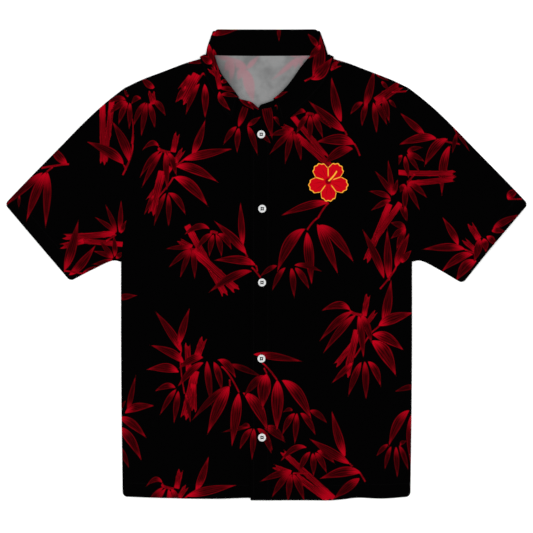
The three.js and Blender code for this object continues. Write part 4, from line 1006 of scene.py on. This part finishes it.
collar_leaf = wall_about("cloth_collar_leaf", across_leaf, STIFF_WALL, COLLAR_LEAF)
print("leaf:", triangles(collar_leaf), "triangles; grid", across_leaf.shape)

# %% [markdown]
# ## Buttons
# A shirt button is turned from a disc: a rounded rim, a dished middle and four holes. The top is a polar grid
# whose height is a function of radius, less a pit at each hole. A pit as deep as the button looks the same as
# a hole, because dark cloth would show through it, and the mesh stays simple and closed.


# %% A turned button with four holes
BUTTONS = [("button_1", -9.6, 222.1), ("button_2", -7.9, 95.6), ("button_3", -8.2, -29.8),
           ("button_4", -9.2, -159.2), ("button_5", -8.2, -293.3)]
RADIUS, THICK, SPACING, HOLE = 6.8, 2.6, 3.6, 0.8


def button_top(radius, angle):
    """Height over radius: flat dish, soft step up, rounded ring, and down over the rim; then the four pits."""
    ring = THICK - 0.75 * (1 - smoothstep(3.9, 4.9, radius)) - 0.12 * ((radius - 5.7) / 1.4) ** 2 * (radius > 4.9)
    x, y = radius * np.cos(angle), radius * np.sin(angle)
    nearest = np.hypot(np.abs(x) - SPACING / 2, np.abs(y) - SPACING / 2)
    return ring - 1.55 * (1 - smoothstep(HOLE - 0.16, HOLE + 0.1, nearest))


def make_button(name, x, y, base):
    """Rings of the top from the middle out, the rim as a half round, and the flat underside."""
    angle = np.linspace(0, 2 * np.pi, 72, endpoint=False)[None, :]
    inner = np.concatenate([np.linspace(0.05, 3.6, 30), np.linspace(3.8, RADIUS - 0.7, 12)])[:, None]
    top = np.dstack(np.broadcast_arrays(inner * np.cos(angle), inner * np.sin(angle), button_top(inner, angle)))
    turn = np.linspace(70, -90, 10)[:, None] * np.pi / 180
    rim_z = (THICK - 0.06) / 2
    radius = RADIUS - 0.7 + 0.7 * np.cos(turn)
    rim = np.dstack(np.broadcast_arrays(radius * np.cos(angle), radius * np.sin(angle), rim_z + rim_z * np.sin(turn)))
    low = np.array([4.0, 1.0])[:, None]
    under = np.dstack(np.broadcast_arrays(low * np.cos(angle), low * np.sin(angle), 0 * low * angle))
    rings = np.concatenate([top, rim, under])
    index = np.arange(rings.shape[0] * 72).reshape(rings.shape[0], 72)
    index = np.concatenate([index, index[:, :1]], axis=1)
    points = np.concatenate([rings.reshape(-1, 3), [[0, 0, button_top(np.array(0.0), 0.0)]], [[0, 0, 0]]])
    centre, foot = len(points) - 2, len(points) - 1
    cap = np.stack([np.full(72, centre), index[0, 1:], index[0, :-1]], 1)
    sole = np.stack([np.full(72, foot), index[-1, :-1], index[-1, 1:]], 1)
    points = points + np.array([x, y, base])
    return make_mesh(name, points, [quads_of(index), cap, sole], [0, 0, 0])


button_pieces = []
for name, x, y in BUTTONS:
    base = one(placket_bottom, x, y) + STIFF_WALL + 0.15
    button_pieces.append(make_button("pearl_" + name, x, y, base))
print("buttons:", [triangles(piece) for piece in button_pieces], "triangles")

# %% [markdown]
# ## Sewing
# A seam is a row of short stitches with tiny gaps. Each stitch is a small rounded bar, copied along a line with
# one array step and turned to its direction. Black thread on black cloth hardly shows from above, but it
# catches the light close by. Buttons are held by four strands from hole to hole, in dark grey.


# %% One stitch, and rows of them
def bar_template():
    """A bar along x from -0.5 to 0.5 with six sides: full in the middle, narrow at both ends."""
    at = np.array([-0.5, -0.36, 0.36, 0.5])
    size = np.array([0.35, 1.0, 1.0, 0.35])
    angle = np.arange(6) * np.pi / 3
    points = np.array([[a, s * math.cos(t), s * math.sin(t)] for a, s in zip(at, size) for t in angle])
    index = np.concatenate([np.arange(24).reshape(4, 6), np.arange(24).reshape(4, 6)[:, :1]], axis=1)
    return points, quads_of(index), np.array([[0, 1, 2, 3, 4, 5], [23, 22, 21, 20, 19, 18]])


BAR, BAR_SIDES, BAR_ENDS = bar_template()


def bars(name, start, stop, width, height):
    """Bars from each start point to its stop point, as one mesh: x along, y across and z up for all at once."""
    start, stop = as_laid(np.asarray(start, float)), as_laid(np.asarray(stop, float))
    along = stop - start
    length = np.linalg.norm(along, axis=1, keepdims=True)
    along = along / length
    side = unit(np.cross([[0.0, 0.0, 1.0]], along))
    up = np.cross(along, side)
    middle = (start + stop) / 2
    points = (middle[:, None] + along[:, None] * (BAR[:, 0] * length)[..., None]
              + side[:, None] * (BAR[:, 1] * np.reshape(width, (-1, 1)) / 2)[..., None]
              + up[:, None] * (BAR[:, 2] * height / 2)[None, :, None])
    shift = (np.arange(len(start)) * len(BAR))[:, None, None]
    sides, ends = ((f[None] + shift).reshape(-1, f.shape[1]) for f in (BAR_SIDES, BAR_ENDS))
    return make_mesh(name, points.reshape(-1, 3), [sides, ends], [0, 0])


def stitch_marks(path, pitch=2.9, share=0.72):
    """Start and stop of every stitch along a path of points."""
    path = np.asarray(path, float)
    length = run_along(path)
    number = int(length[-1] // pitch)
    begin = np.arange(number) * pitch
    at = lambda s: np.stack([np.interp(s, length, column) for column in path.T], 1)
    return at(begin), at(begin + pitch * share)


def sewn(name, paths, width=0.42, height=0.3):
    """Rows of stitches along several paths, as one piece."""
    marks = [stitch_marks(path) for path in paths]
    return bars(name, np.concatenate([m[0] for m in marks]), np.concatenate([m[1] for m in marks]), width, height)


def on_panel(plan, u, v, bottom, wall, lift=0.02):
    """Points on the face of a panel at shares u and v."""
    u, v = np.broadcast_arrays(np.asarray(u, float), np.asarray(v, float))
    xy = plan(u, v)
    return np.column_stack([xy, bottom(xy[:, 0], xy[:, 1]) + wall + lift])


print("one stitch:", len(BAR), "points")

# %% Stitches of placket, hems, cuffs and collar
many = np.linspace(0.002, 0.998, 700)
inset = 5.5 / (PLACKET_INNER_X - PLACKET_OUTER_X)
placket_lines = [on_panel(placket_plan, np.full(700, place), many, placket_bottom, STIFF_WALL)
                 for place in (inset, 1 - inset)]
thread_placket = sewn("stitches_placket", placket_lines)
hem_lines = [on_panel(left_plan, many, np.full(700, HEM_DEPTH / 660), lap_bottom, WALL, -0.12),
             on_panel(right_plan, np.linspace(0.16, 0.998, 700), np.full(700, HEM_DEPTH / 650), upper_bottom, WALL,
                      -0.12)]
thread_hem = sewn("stitches_hem", hem_lines)
back_line = back_plan(np.linspace(0.01, 0.99, 700), np.full(700, HEM_DEPTH / 745))
thread_back = sewn("stitches_back_hem", [np.column_stack([back_line, np.full(700, 0.02)])], height=0.16)


def cuff_line(side, over):
    """A ring line 21 mm above the cuff, on the upper or the lower layer."""
    v = np.linspace(0.012, 0.988, 400)
    u = 1 - HEM_DEPTH / np.linalg.norm(sleeve_xy(np.ones_like(v), v) - sleeve_xy(np.zeros_like(v), v), axis=-1)
    xy = sleeve_xy(u, v)
    x, y = side * xy[:, 0], xy[:, 1]
    height = 2 * WALL + LAYER_GAP + relief(x, y) + SLEEVE_LOFT * np.sin(np.pi * v) * smoothstep(0.1, 0.9, u)
    return np.column_stack([x, y, height - 0.03 if over else np.full_like(v, 0.02)])


thread_cuffs = sewn("stitches_cuffs", [cuff_line(side, True) for side in (-1, 1)])
thread_under = sewn("stitches_cuffs_under", [cuff_line(side, False) for side in (-1, 1)], height=0.16)
leaf_normal = unit(np.cross(np.gradient(across_leaf, axis=0), np.gradient(across_leaf, axis=1)))
leaf_face = across_leaf + leaf_normal * (STIFF_WALL / 2 + 0.02)
thread_collar = sewn("stitches_collar", [leaf_face[3:-3, -5], leaf_face[3, 20:-5], leaf_face[-4, 20:-5]])
threads = [thread_placket, thread_hem, thread_back, thread_cuffs, thread_under, thread_collar]
print("stitch triangles:", [triangles(piece) for piece in threads])

# %% Buttonholes and the thread that holds the buttons
hole_start, hole_stop, tie_start, tie_stop = [], [], [], []
for name, x, y in BUTTONS:
    top = one(placket_bottom, x, y) + STIFF_WALL
    steps = np.arange(-9.2, 9.25, 0.55)
    for sign in (-1, 1):
        flat = np.column_stack([np.full_like(steps, x), y + steps, np.full_like(steps, top + 0.06)])
        hole_start.append(flat + [sign * 0.25, 0, 0])
        hole_stop.append(flat + [sign * 1.35, 0, -0.02])
    rest = top + 0.15 + THICK - 0.75
    corner = SPACING / 2
    for x0, y0, x1, y1 in ((-1, -1, -1, 1), (1, -1, 1, 1), (-1, -1, 1, -1), (-1, 1, 1, 1)):
        for shift in (-0.3, 0.3):
            dx, dy = (shift, 0) if x0 == x1 else (0, shift)
            over_x, over_y = (0, 0.45) if x0 == x1 else (0.45, 0)
            tie_start.append([x + x0 * corner + dx - over_x, y + y0 * corner + dy - over_y, rest + 0.12])
            tie_stop.append([x + x1 * corner + dx + over_x, y + y1 * corner + dy + over_y, rest + 0.12])
    for sign_x in (-1, 1):
        for sign_y in (-1, 1):
            knot = [x + sign_x * corner, y + sign_y * corner, rest + 0.08]
            tie_start.append([knot[0] - 0.95, knot[1], knot[2]])
            tie_stop.append([knot[0] + 0.95, knot[1], knot[2]])
buttonholes = bars("buttonholes", np.concatenate(hole_start), np.concatenate(hole_stop), 0.5, 0.22)
thread_width = np.array(([1.0] * 8 + [2.1] * 4) * len(BUTTONS))
button_thread = bars("button_thread", tie_start, tie_stop, thread_width, 0.4)
print("buttonholes and ties:", triangles(buttonholes), triangles(button_thread), "triangles")

# %% Seam allowances inside the armholes, which close the joint between sleeve and body
def armhole_strip(name, side):
    """A thin band 9 mm wide along the armhole, between the layers: the sewn edges of both pieces."""
    line = curve_through(ARMHOLE)(np.linspace(0.025, 0.965, 161))
    out = np.linspace(-4.5, 4.5, 9)
    normal = np.gradient(line, axis=0)
    normal = unit(np.stack([normal[:, 1], -normal[:, 0]], 1))
    xy = line[:, None] + normal[:, None] * out[None, :, None]
    x, y = side * xy[..., 0], xy[..., 1]
    top = np.dstack([x, y, np.full_like(x, WALL + 0.24)])
    low = np.dstack([x, y, np.full_like(x, WALL + 0.1)])
    return shell(name, top, low[::2, ::2], xy, [])


seam_right, seam_left = armhole_strip("seam_armhole_right", -1), armhole_strip("seam_armhole_left", 1)
print("armhole seams:", triangles(seam_right), triangles(seam_left), "triangles")

# %% [markdown]
# ## Materials
# Small helpers keep node code short. An effect that several finishes share, such as the weave, is a node group
# that gives out values and colours only. Numbers that are the same all over a finish go straight onto the
# shader's own sockets.


# %% Helpers for nodes
def put(tree, value, socket):
    """A socket is linked, anything else is set as a value."""
    if isinstance(value, bpy.types.NodeSocket):
        tree.links.new(value, socket)
    else:
        socket.default_value = value


def calc(tree, operation, *values, clamp=False):
    """A Math node."""
    node = tree.nodes.new("ShaderNodeMath")
    node.operation, node.use_clamp = operation, clamp
    for value, socket in zip(values, node.inputs):
        put(tree, value, socket)
    return node.outputs[0]


def ease(tree, value, start, stop, low=0.0, high=1.0):
    """A smooth step between two values."""
    node = tree.nodes.new("ShaderNodeMapRange")
    node.interpolation_type = "SMOOTHSTEP"
    for socket, v in zip(("Value", "From Min", "From Max", "To Min", "To Max"), (value, start, stop, low, high)):
        put(tree, v, node.inputs[socket])
    return node.outputs[0]


def blend(tree, share, first, second):
    """A mix of two colours."""
    node = tree.nodes.new("ShaderNodeMix")
    node.data_type = "RGBA"
    put(tree, share, node.inputs[0])
    put(tree, first, node.inputs[6])
    put(tree, second, node.inputs[7])
    return node.outputs[2]


def noise(tree, vector, scale, detail=2.0, rough=0.5):
    """A Noise Texture's value."""
    node = tree.nodes.new("ShaderNodeTexNoise")
    put(tree, vector, node.inputs["Vector"])
    node.inputs["Scale"].default_value = scale
    node.inputs["Detail"].default_value = detail
    node.inputs["Roughness"].default_value = rough
    return node.outputs[0]


def vector_of(tree, x, y, z):
    """Three values as a vector."""
    node = tree.nodes.new("ShaderNodeCombineXYZ")
    for value, socket in zip((x, y, z), node.inputs):
        put(tree, value, socket)
    return node.outputs[0]


def parts_of(tree, vector):
    """The three values of a vector."""
    node = tree.nodes.new("ShaderNodeSeparateXYZ")
    put(tree, vector, node.inputs[0])
    return node.outputs


def new_group(name, inputs, outputs):
    """An empty node group with its sockets: inputs and outputs are (name, type, default)."""
    tree = bpy.data.node_groups.new(name, "ShaderNodeTree")
    for label, kind, default in inputs:
        socket = tree.interface.new_socket(label, in_out="INPUT", socket_type="NodeSocket" + kind)
        if default is not None:
            socket.default_value = default
    for label, kind in outputs:
        tree.interface.new_socket(label, in_out="OUTPUT", socket_type="NodeSocket" + kind)
    return tree, tree.nodes.new("NodeGroupInput").outputs, tree.nodes.new("NodeGroupOutput").inputs


def use_group(tree, group, **values):
    """A group's outputs in a material, with its inputs given by name."""
    node = tree.nodes.new("ShaderNodeGroup")
    node.node_tree = group
    for label, value in values.items():
        put(tree, value, node.inputs[label])
    return node.outputs


print("node helpers ready")

# %% The print: from the two vectors of the mesh to a red leaf with veins
print_group, given, result = new_group(
    "bamboo print", [("Place", "Vector", None), ("Tone", "Vector", None), ("Softness", "Float", 0.5)],
    [("Leaf", "Float"), ("Red", "Color")])
g = print_group
along, across, number = parts_of(g, given["Place"])
peak, deep, distance = parts_of(g, given["Tone"])
mask = ease(g, distance, given["Softness"], calc(g, "MULTIPLY", given["Softness"], -1.0))
side = calc(g, "ABSOLUTE", across)
fibre_place = vector_of(g, across, calc(g, "MULTIPLY", along, 0.55), calc(g, "MULTIPLY", number, 3.7))
fibre = noise(g, fibre_place, 5.2, 3.0, 0.62)
veins = calc(g, "POWER", calc(g, "ABSOLUTE", calc(g, "COSINE", calc(g, "ADD", calc(g, "MULTIPLY", across, 6.6),
             calc(g, "MULTIPLY", fibre, 2.6)))), 5.0)
base_glow = ease(g, along, 0.40, 0.03)
tip_glow = calc(g, "MULTIPLY", ease(g, along, 0.68, 0.96), 0.62)
rim_glow = calc(g, "MULTIPLY", ease(g, side, 0.5, 1.05), 0.32)
glow = calc(g, "MAXIMUM", base_glow, calc(g, "MAXIMUM", tip_glow, rim_glow))
light = calc(g, "MULTIPLY_ADD", glow, calc(g, "SUBTRACT", 1.0, deep), deep)
streaks = calc(g, "MULTIPLY", calc(g, "ADD", calc(g, "MULTIPLY", ease(g, fibre, 0.38, 0.62), 0.6),
               calc(g, "MULTIPLY", veins, 0.55)), calc(g, "MULTIPLY_ADD", glow, -0.62, 1.0))
light = calc(g, "MULTIPLY", light, calc(g, "SUBTRACT", 1.0, streaks, clamp=True))
light = calc(g, "MULTIPLY", light, peak, clamp=True)
g.links.new(blend(g, light, (0.006, 0.0, 0.0004, 1), (0.47, 0.0008, 0.0095, 1)), result["Red"])
g.links.new(mask, result["Leaf"])
print("print group nodes:", len(g.nodes))

# %% The weave: fine plain cloth on the cut coordinates
weave_group, given, result = new_group("plain weave", [("Cut", "Vector", None), ("Pitch", "Float", 0.00042)],
                                       [("Height", "Float"), ("Shade", "Float")])
g = weave_group
x, y, _ = parts_of(g, given["Cut"])
turns = calc(g, "DIVIDE", math.pi, given["Pitch"])
uneven = noise(g, given["Cut"], 900.0, 2.0)
warp = calc(g, "SINE", calc(g, "MULTIPLY_ADD", x, turns, calc(g, "MULTIPLY", uneven, 1.3)))
weft = calc(g, "SINE", calc(g, "MULTIPLY_ADD", y, turns, calc(g, "MULTIPLY", uneven, 1.1)))
over_under = calc(g, "MULTIPLY_ADD", calc(g, "MULTIPLY", warp, weft), 0.5, 0.5)
slub = noise(g, vector_of(g, calc(g, "MULTIPLY", x, 60.0), calc(g, "MULTIPLY", y, 900.0), 0.0), 1.0, 2.0)
g.links.new(calc(g, "MULTIPLY_ADD", slub, 0.35, over_under), result["Height"])
# Shade is the weave's relief as painted shade and highlight: lighter where the threads stand high, darker where they
# dip.
g.links.new(calc(g, "MULTIPLY_ADD", calc(g, "ADD", over_under, slub), 0.5, 0.0), result["Shade"])
print("weave group nodes:", len(g.nodes))

# %% [markdown]
# ## A flower on the chest
# The left chest carries one flower, printed in the red of the leaves' brightest parts with a golden outline. It
# is a plain five-petalled hibiscus, worked out in polar coordinates: the petal edge is a function
# of the angle, the outline is a band inside that edge, and a curved pistil stands in the middle.

# %% The flower in polar coordinates
flower_group, given, result = new_group("hibiscus", [("Point", "Vector", None), ("Radius", "Float", 0.0345)],
                                        [("Flower", "Float"), ("Colour", "Color")])
g = flower_group
x, y, _ = parts_of(g, given["Point"])
x, y = calc(g, "SUBTRACT", x, 0.1045), calc(g, "SUBTRACT", y, 0.1425)
radius = calc(g, "SQRT", calc(g, "ADD", calc(g, "MULTIPLY", x, x), calc(g, "MULTIPLY", y, y)))
angle = calc(g, "ARCTAN2", y, x)
wave = calc(g, "ABSOLUTE", calc(g, "COSINE", calc(g, "MULTIPLY_ADD", angle, 2.5, 0.75)))
frill = calc(g, "MULTIPLY", calc(g, "SINE", calc(g, "MULTIPLY", angle, 25.0)), 0.022)
lobe = calc(g, "MULTIPLY_ADD", calc(g, "POWER", wave, 0.55), 0.44, 0.56)
petal = calc(g, "MULTIPLY", given["Radius"], calc(g, "ADD", lobe, frill))
inside = calc(g, "SUBTRACT", petal, radius)
flower = ease(g, inside, -0.0004, 0.0004)
outline = calc(g, "SUBTRACT", 1.0, ease(g, inside, 0.0013, 0.0021))
from_crease = calc(g, "MULTIPLY", calc(g, "MULTIPLY", radius, wave), 0.4)
crease = calc(g, "SUBTRACT", 1.0, ease(g, from_crease, 0.0004, 0.0011))
crease = calc(g, "MULTIPLY", crease, ease(g, radius, 0.007, 0.011))
ray = calc(g, "ABSOLUTE", calc(g, "SINE", calc(g, "MULTIPLY_ADD", angle, 7.5, 0.4)))
near_heart = calc(g, "MULTIPLY", ease(g, radius, 0.005, 0.012), ease(g, radius, 0.027, 0.016))
shade = calc(g, "MULTIPLY", ease(g, ray, 0.25, 0.0), near_heart)
heart = ease(g, radius, 0.0062, 0.0040)
px = calc(g, "ADD", calc(g, "MULTIPLY", x, 0.78), calc(g, "MULTIPLY", y, 0.62))
py = calc(g, "SUBTRACT", calc(g, "MULTIPLY", y, 0.78), calc(g, "MULTIPLY", x, 0.62))
bow = calc(g, "MULTIPLY", calc(g, "MULTIPLY", px, px), 9.0)
stalk = calc(g, "MULTIPLY", ease(g, calc(g, "ABSOLUTE", calc(g, "SUBTRACT", py, bow)), 0.0016, 0.0009),
             calc(g, "MULTIPLY", ease(g, px, 0.0, 0.001), ease(g, px, 0.0225, 0.0215)))
gold = calc(g, "MAXIMUM", calc(g, "MAXIMUM", outline, crease), stalk, clamp=True)
red = blend(g, calc(g, "MAXIMUM", shade, heart), (0.41, 0.001, 0.006, 1), (0.15, 0.0, 0.003, 1))
g.links.new(blend(g, gold, red, (0.72, 0.34, 0.03, 1)), result["Colour"])
g.links.new(flower, result["Flower"])
print("flower group nodes:", len(g.nodes))


# %% Finishes of the cloth
def material(name, roughness, specular):
    """A material with its Principled BSDF."""
    made = bpy.data.materials.new(name)
    made.use_nodes = True
    shader = made.node_tree.nodes["Principled BSDF"]
    shader.inputs["Roughness"].default_value = roughness
    shader.inputs["Specular IOR Level"].default_value = specular
    return made, made.node_tree, shader


def attribute(tree, name):
    """A vector attribute of the mesh."""
    node = tree.nodes.new("ShaderNodeAttribute")
    node.attribute_name = name
    return node.outputs["Vector"]


def bump(tree, height, strength, distance, shader):
    """A Bump node on the shader's normal."""
    node = tree.nodes.new("ShaderNodeBump")
    node.inputs["Strength"].default_value = strength
    node.inputs["Distance"].default_value = distance
    put(tree, height, node.inputs["Height"])
    tree.links.new(node.outputs[0], shader.inputs["Normal"])


def cut_vector(tree):
    """The UV map with the flat cloth's coordinates."""
    node = tree.nodes.new("ShaderNodeUVMap")
    node.uv_map = "cut"
    return node.outputs[0]


GROUND = (0.0003, 0.00025, 0.0003, 1)


def printed_cloth(name, flower=False):
    """The right side: black ground, red leaves, a matt weave that is a little smoother where it stands high."""
    made, tree, shader = material(name, 0.82, 0.007)
    weave = use_group(tree, weave_group, Cut=cut_vector(tree))
    bamboo = use_group(tree, print_group, Place=attribute(tree, "leaf_place"), Tone=attribute(tree, "leaf_tone"))
    # The colour is scaled by the weave's painted shade and highlight.
    shade = ease(tree, weave["Shade"], 0.1, 0.9, 0.80, 1.12)
    colour = blend(tree, bamboo["Leaf"], GROUND, bamboo["Red"])
    if flower:
        point = tree.nodes.new("ShaderNodeTexCoord").outputs["Object"]
        hibiscus = use_group(tree, flower_group, Point=point)
        colour = blend(tree, hibiscus["Flower"], colour, hibiscus["Colour"])
    tint = tree.nodes.new("ShaderNodeVectorMath")
    tint.operation = "SCALE"
    put(tree, colour, tint.inputs[0])
    put(tree, shade, tint.inputs["Scale"])
    tree.links.new(tint.outputs[0], shader.inputs["Base Color"])
    tree.links.new(ease(tree, weave["Height"], 0.0, 1.3, 0.88, 0.74), shader.inputs["Roughness"])
    bump(tree, weave["Height"], 0.35, 0.00012, shader)
    return made


def wrong_side(name):
    """The wrong side: pale grey cloth, painted darker with shade, where the leaves show through in a faint pink."""
    made, tree, shader = material(name, 0.9, 0.12)
    weave = use_group(tree, weave_group, Cut=cut_vector(tree))
    bamboo = use_group(tree, print_group, Place=attribute(tree, "leaf_place"), Tone=attribute(tree, "leaf_tone"),
                       Softness=2.2)
    point = tree.nodes.new("ShaderNodeTexCoord").outputs["Object"]
    # The grey is painted darker than the pale cloth, with painted shade in random soft patches.
    painted_fold_shade = noise(tree, point, 22.0, 3.0, 0.55)
    grey = blend(tree, ease(tree, painted_fold_shade, 0.36, 0.64), (0.122, 0.123, 0.124, 1), (0.190, 0.191, 0.191, 1))
    along = parts_of(tree, attribute(tree, "leaf_place"))[0]
    share = calc(tree, "MULTIPLY", bamboo["Leaf"], ease(tree, along, 0.0, 1.0, 0.74, 0.5))
    colour = blend(tree, share, grey, (0.275, 0.132, 0.152, 1))
    # Painted shadow of the collar: the colour falls to half towards the left side of the neck.
    painted_collar_shadow = ease(tree, parts_of(tree, point)[0], -0.094, -0.042, 0.5, 1.0)
    tint = tree.nodes.new("ShaderNodeVectorMath")
    tint.operation = "SCALE"
    put(tree, colour, tint.inputs[0])
    # The colour is scaled by the painted collar shadow and by the weave's painted shade and highlight.
    put(tree, calc(tree, "MULTIPLY", painted_collar_shadow, ease(tree, weave["Shade"], 0.1, 0.9, 0.93, 1.05)),
        tint.inputs["Scale"])
    tree.links.new(tint.outputs[0], shader.inputs["Base Color"])
    folds = noise(tree, point, 34.0, 2.0, 0.45)
    bump(tree, calc(tree, "MULTIPLY_ADD", weave["Height"], 0.02, folds), 0.5, 0.004, shader)
    return made


cloth = printed_cloth("printed cloth")
cloth_flower = printed_cloth("printed cloth with flower", flower=True)
inside_cloth = wrong_side("wrong side of the cloth")
print("cloth finishes:", cloth.name, "|", cloth_flower.name, "|", inside_cloth.name)


# %% Finishes of buttons, thread and floor
def pearl():
    """Cast resin that imitates mother of pearl: milky bands, polished, with a clear coat."""
    made, tree, shader = material("pearl resin", 0.24, 0.5)
    point = tree.nodes.new("ShaderNodeTexCoord").outputs["Object"]
    drift = noise(tree, point, 160.0, 2.0)
    x, y, z = parts_of(tree, point)
    bands = noise(tree, vector_of(tree, calc(tree, "MULTIPLY_ADD", x, 260.0, calc(tree, "MULTIPLY", drift, 2.0)),
                                  calc(tree, "MULTIPLY", y, 700.0), z), 1.0, 3.0, 0.6)
    colour = blend(tree, ease(tree, bands, 0.36, 0.66), (0.42, 0.43, 0.44, 1), (0.56, 0.56, 0.545, 1))
    tree.links.new(colour, shader.inputs["Base Color"])
    tree.links.new(ease(tree, bands, 0.3, 0.7, 0.18, 0.3), shader.inputs["Roughness"])
    shader.inputs["Coat Weight"].default_value = 0.5
    bump(tree, bands, 0.12, 0.00008, shader)
    return made


def thread(name, dark, light, specular):
    """Spun thread: fine slanted plies in two shades, lighter where they stand high and darker in the grooves, as
    painted highlight and painted shade.
    """
    made, tree, shader = material(name, 0.62, specular)
    x, y, z = parts_of(tree, tree.nodes.new("ShaderNodeTexCoord").outputs["Object"])
    slant = calc(tree, "ADD", calc(tree, "ADD", x, y), calc(tree, "MULTIPLY", z, 1.7))
    plies = calc(tree, "SINE", calc(tree, "MULTIPLY", slant, 21000.0))
    share = ease(tree, plies, -1.0, 1.0)
    tree.links.new(blend(tree, share, dark, light), shader.inputs["Base Color"])
    tree.links.new(ease(tree, share, 0.0, 1.0, 0.7, 0.52), shader.inputs["Roughness"])
    bump(tree, share, 0.3, 0.00006, shader)
    return made


def floor_finish():
    """A matt white table top with the faintest mottling."""
    made, tree, shader = material("white table", 0.95, 0.1)
    point = tree.nodes.new("ShaderNodeTexCoord").outputs["Object"]
    mottled = blend(tree, noise(tree, point, 3.0), (0.93, 0.93, 0.93, 1), (0.95, 0.95, 0.95, 1))
    tree.links.new(mottled, shader.inputs["Base Color"])
    return made


pearl_resin = pearl()
black_thread = thread("black thread", (0.0008, 0.0007, 0.0008, 1), (0.003, 0.0024, 0.0028, 1), 0.03)
grey_thread = thread("grey thread", (0.003, 0.003, 0.0035, 1), (0.014, 0.014, 0.015, 1), 0.06)
white_table = floor_finish()
print("finishes:", len(bpy.data.materials))


# %% Dressing the pieces
def finish_piece(piece, *finishes):
    """The materials of a piece, in the order of its face kinds."""
    for finish in finishes:
        piece.data.materials.append(finish)


for piece in (front_right, placket, back, sleeve_right, sleeve_left):
    finish_piece(piece, cloth, inside_cloth)
finish_piece(front_left, cloth_flower, inside_cloth)
for piece in (stand, collar_leaf, seam_right, seam_left):
    finish_piece(piece, cloth, cloth)
for piece in threads + [buttonholes]:
    finish_piece(piece, black_thread)
finish_piece(button_thread, grey_thread)
for piece in button_pieces:
    finish_piece(piece, pearl_resin)

# %% [markdown]
# ## Into the frame
# Every piece rides on the one body of the shirt. Each piece of cloth and each button names the CAD node that
# it stands for, and that node is hidden.

# %% Riding and replacing
SHEETS = [
    (front_right, "front_right", "printed_cloth", (0.2545, 0.751), 0.1737, ["cloth_back"]),
    (front_left, "front_left", "printed_cloth", (0.237, 0.754), 0.1637, ["cloth_back", "cloth_front_right"]),
    (placket, "placket", "printed_cloth", (0.0352, 0.666), 0.0233, ["cloth_front_right"]),
    (back, "back", "printed_cloth", (0.491, 0.749), 0.3475, ["table", "cloth_collar_leaf"]),
    (sleeve_right, "sleeve_right", "printed_cloth", (0.60, 0.28), 0.0798, ["table"]),
    (sleeve_left, "sleeve_left", "printed_cloth", (0.60, 0.28), 0.0798, ["table"]),
    (stand, "collar_stand", "collar_cloth", (0.46, 0.042), 0.0128, ["cloth_collar_leaf"]),
    (collar_leaf, "collar_leaf", "collar_cloth", (0.47, 0.055), 0.0203,
     ["table", "cloth_front_right", "cloth_front_left"]),
]
floor_mesh = bpy.data.meshes.new("table")
floor_mesh.from_pydata([(-6, -6, -0.0004), (6, -6, -0.0004), (6, 6, -0.0004), (-6, 6, -0.0004)], [], [(0, 1, 2, 3)])
table = bpy.data.objects.new("table", floor_mesh)
bpy.context.scene.collection.objects.link(table)
finish_piece(table, white_table)
for piece, node, slot, flat, area, rests in SHEETS:
    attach(piece, "root")
    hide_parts(node)
for piece, (node, _, _) in zip(button_pieces, BUTTONS):
    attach(piece, "root")
    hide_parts(node)
for piece in threads + [buttonholes, button_thread]:
    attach(piece, "root")
for piece in (seam_right, seam_left):
    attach(piece, "root")
print("sheets:", len(SHEETS))

# %% [markdown]
# ## Light and camera
# The shirt is seen from straight above with a long lens, on a white table in even light, so that the ground
# cloth stays black and no hard shadow falls beside it.

# %% Light, camera and view
scene = bpy.context.scene
world = bpy.data.worlds.new("studio")
world.use_nodes = True
world.node_tree.nodes["Background"].inputs[0].default_value = (1, 1, 1, 1)
world.node_tree.nodes["Background"].inputs[1].default_value = 0.88
scene.world = world
for name, place, size, power in (("key", (-1.1, 1.0, 3.0), 2.2, 50), ("fill", (1.3, -0.8, 2.9), 2.6, 34)):
    lamp = bpy.data.lights.new(name, "AREA")
    lamp.size, lamp.energy = size, power
    holder = bpy.data.objects.new(name, lamp)
    holder.location = place
    direction = -np.array(place)
    tilt = math.acos(-direction[2] / np.linalg.norm(direction))
    holder.rotation_euler = (tilt, 0, math.atan2(direction[1], direction[0]) - math.pi / 2)
    scene.collection.objects.link(holder)
FRAME_WIDTH, LENS, SENSOR = 0.9061, 200.0, 36.0
camera = bpy.data.cameras.new("camera")
camera.lens, camera.sensor_width, camera.clip_end = LENS, SENSOR, 50.0
holder = bpy.data.objects.new("camera", camera)
holder.location = (-0.0006, -0.0026, FRAME_WIDTH * LENS / SENSOR + 0.005)
scene.collection.objects.link(holder)
scene.camera = holder
scene.view_settings.view_transform = "Standard"
scene.view_settings.look = "None"
print("camera height:", round(holder.location[2], 3), "m")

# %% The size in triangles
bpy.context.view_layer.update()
new_pieces = [row[0] for row in SHEETS] + button_pieces + threads
new_pieces += [buttonholes, button_thread, seam_right, seam_left]
print("triangles in all:", sum(triangles(piece) for piece in new_pieces))
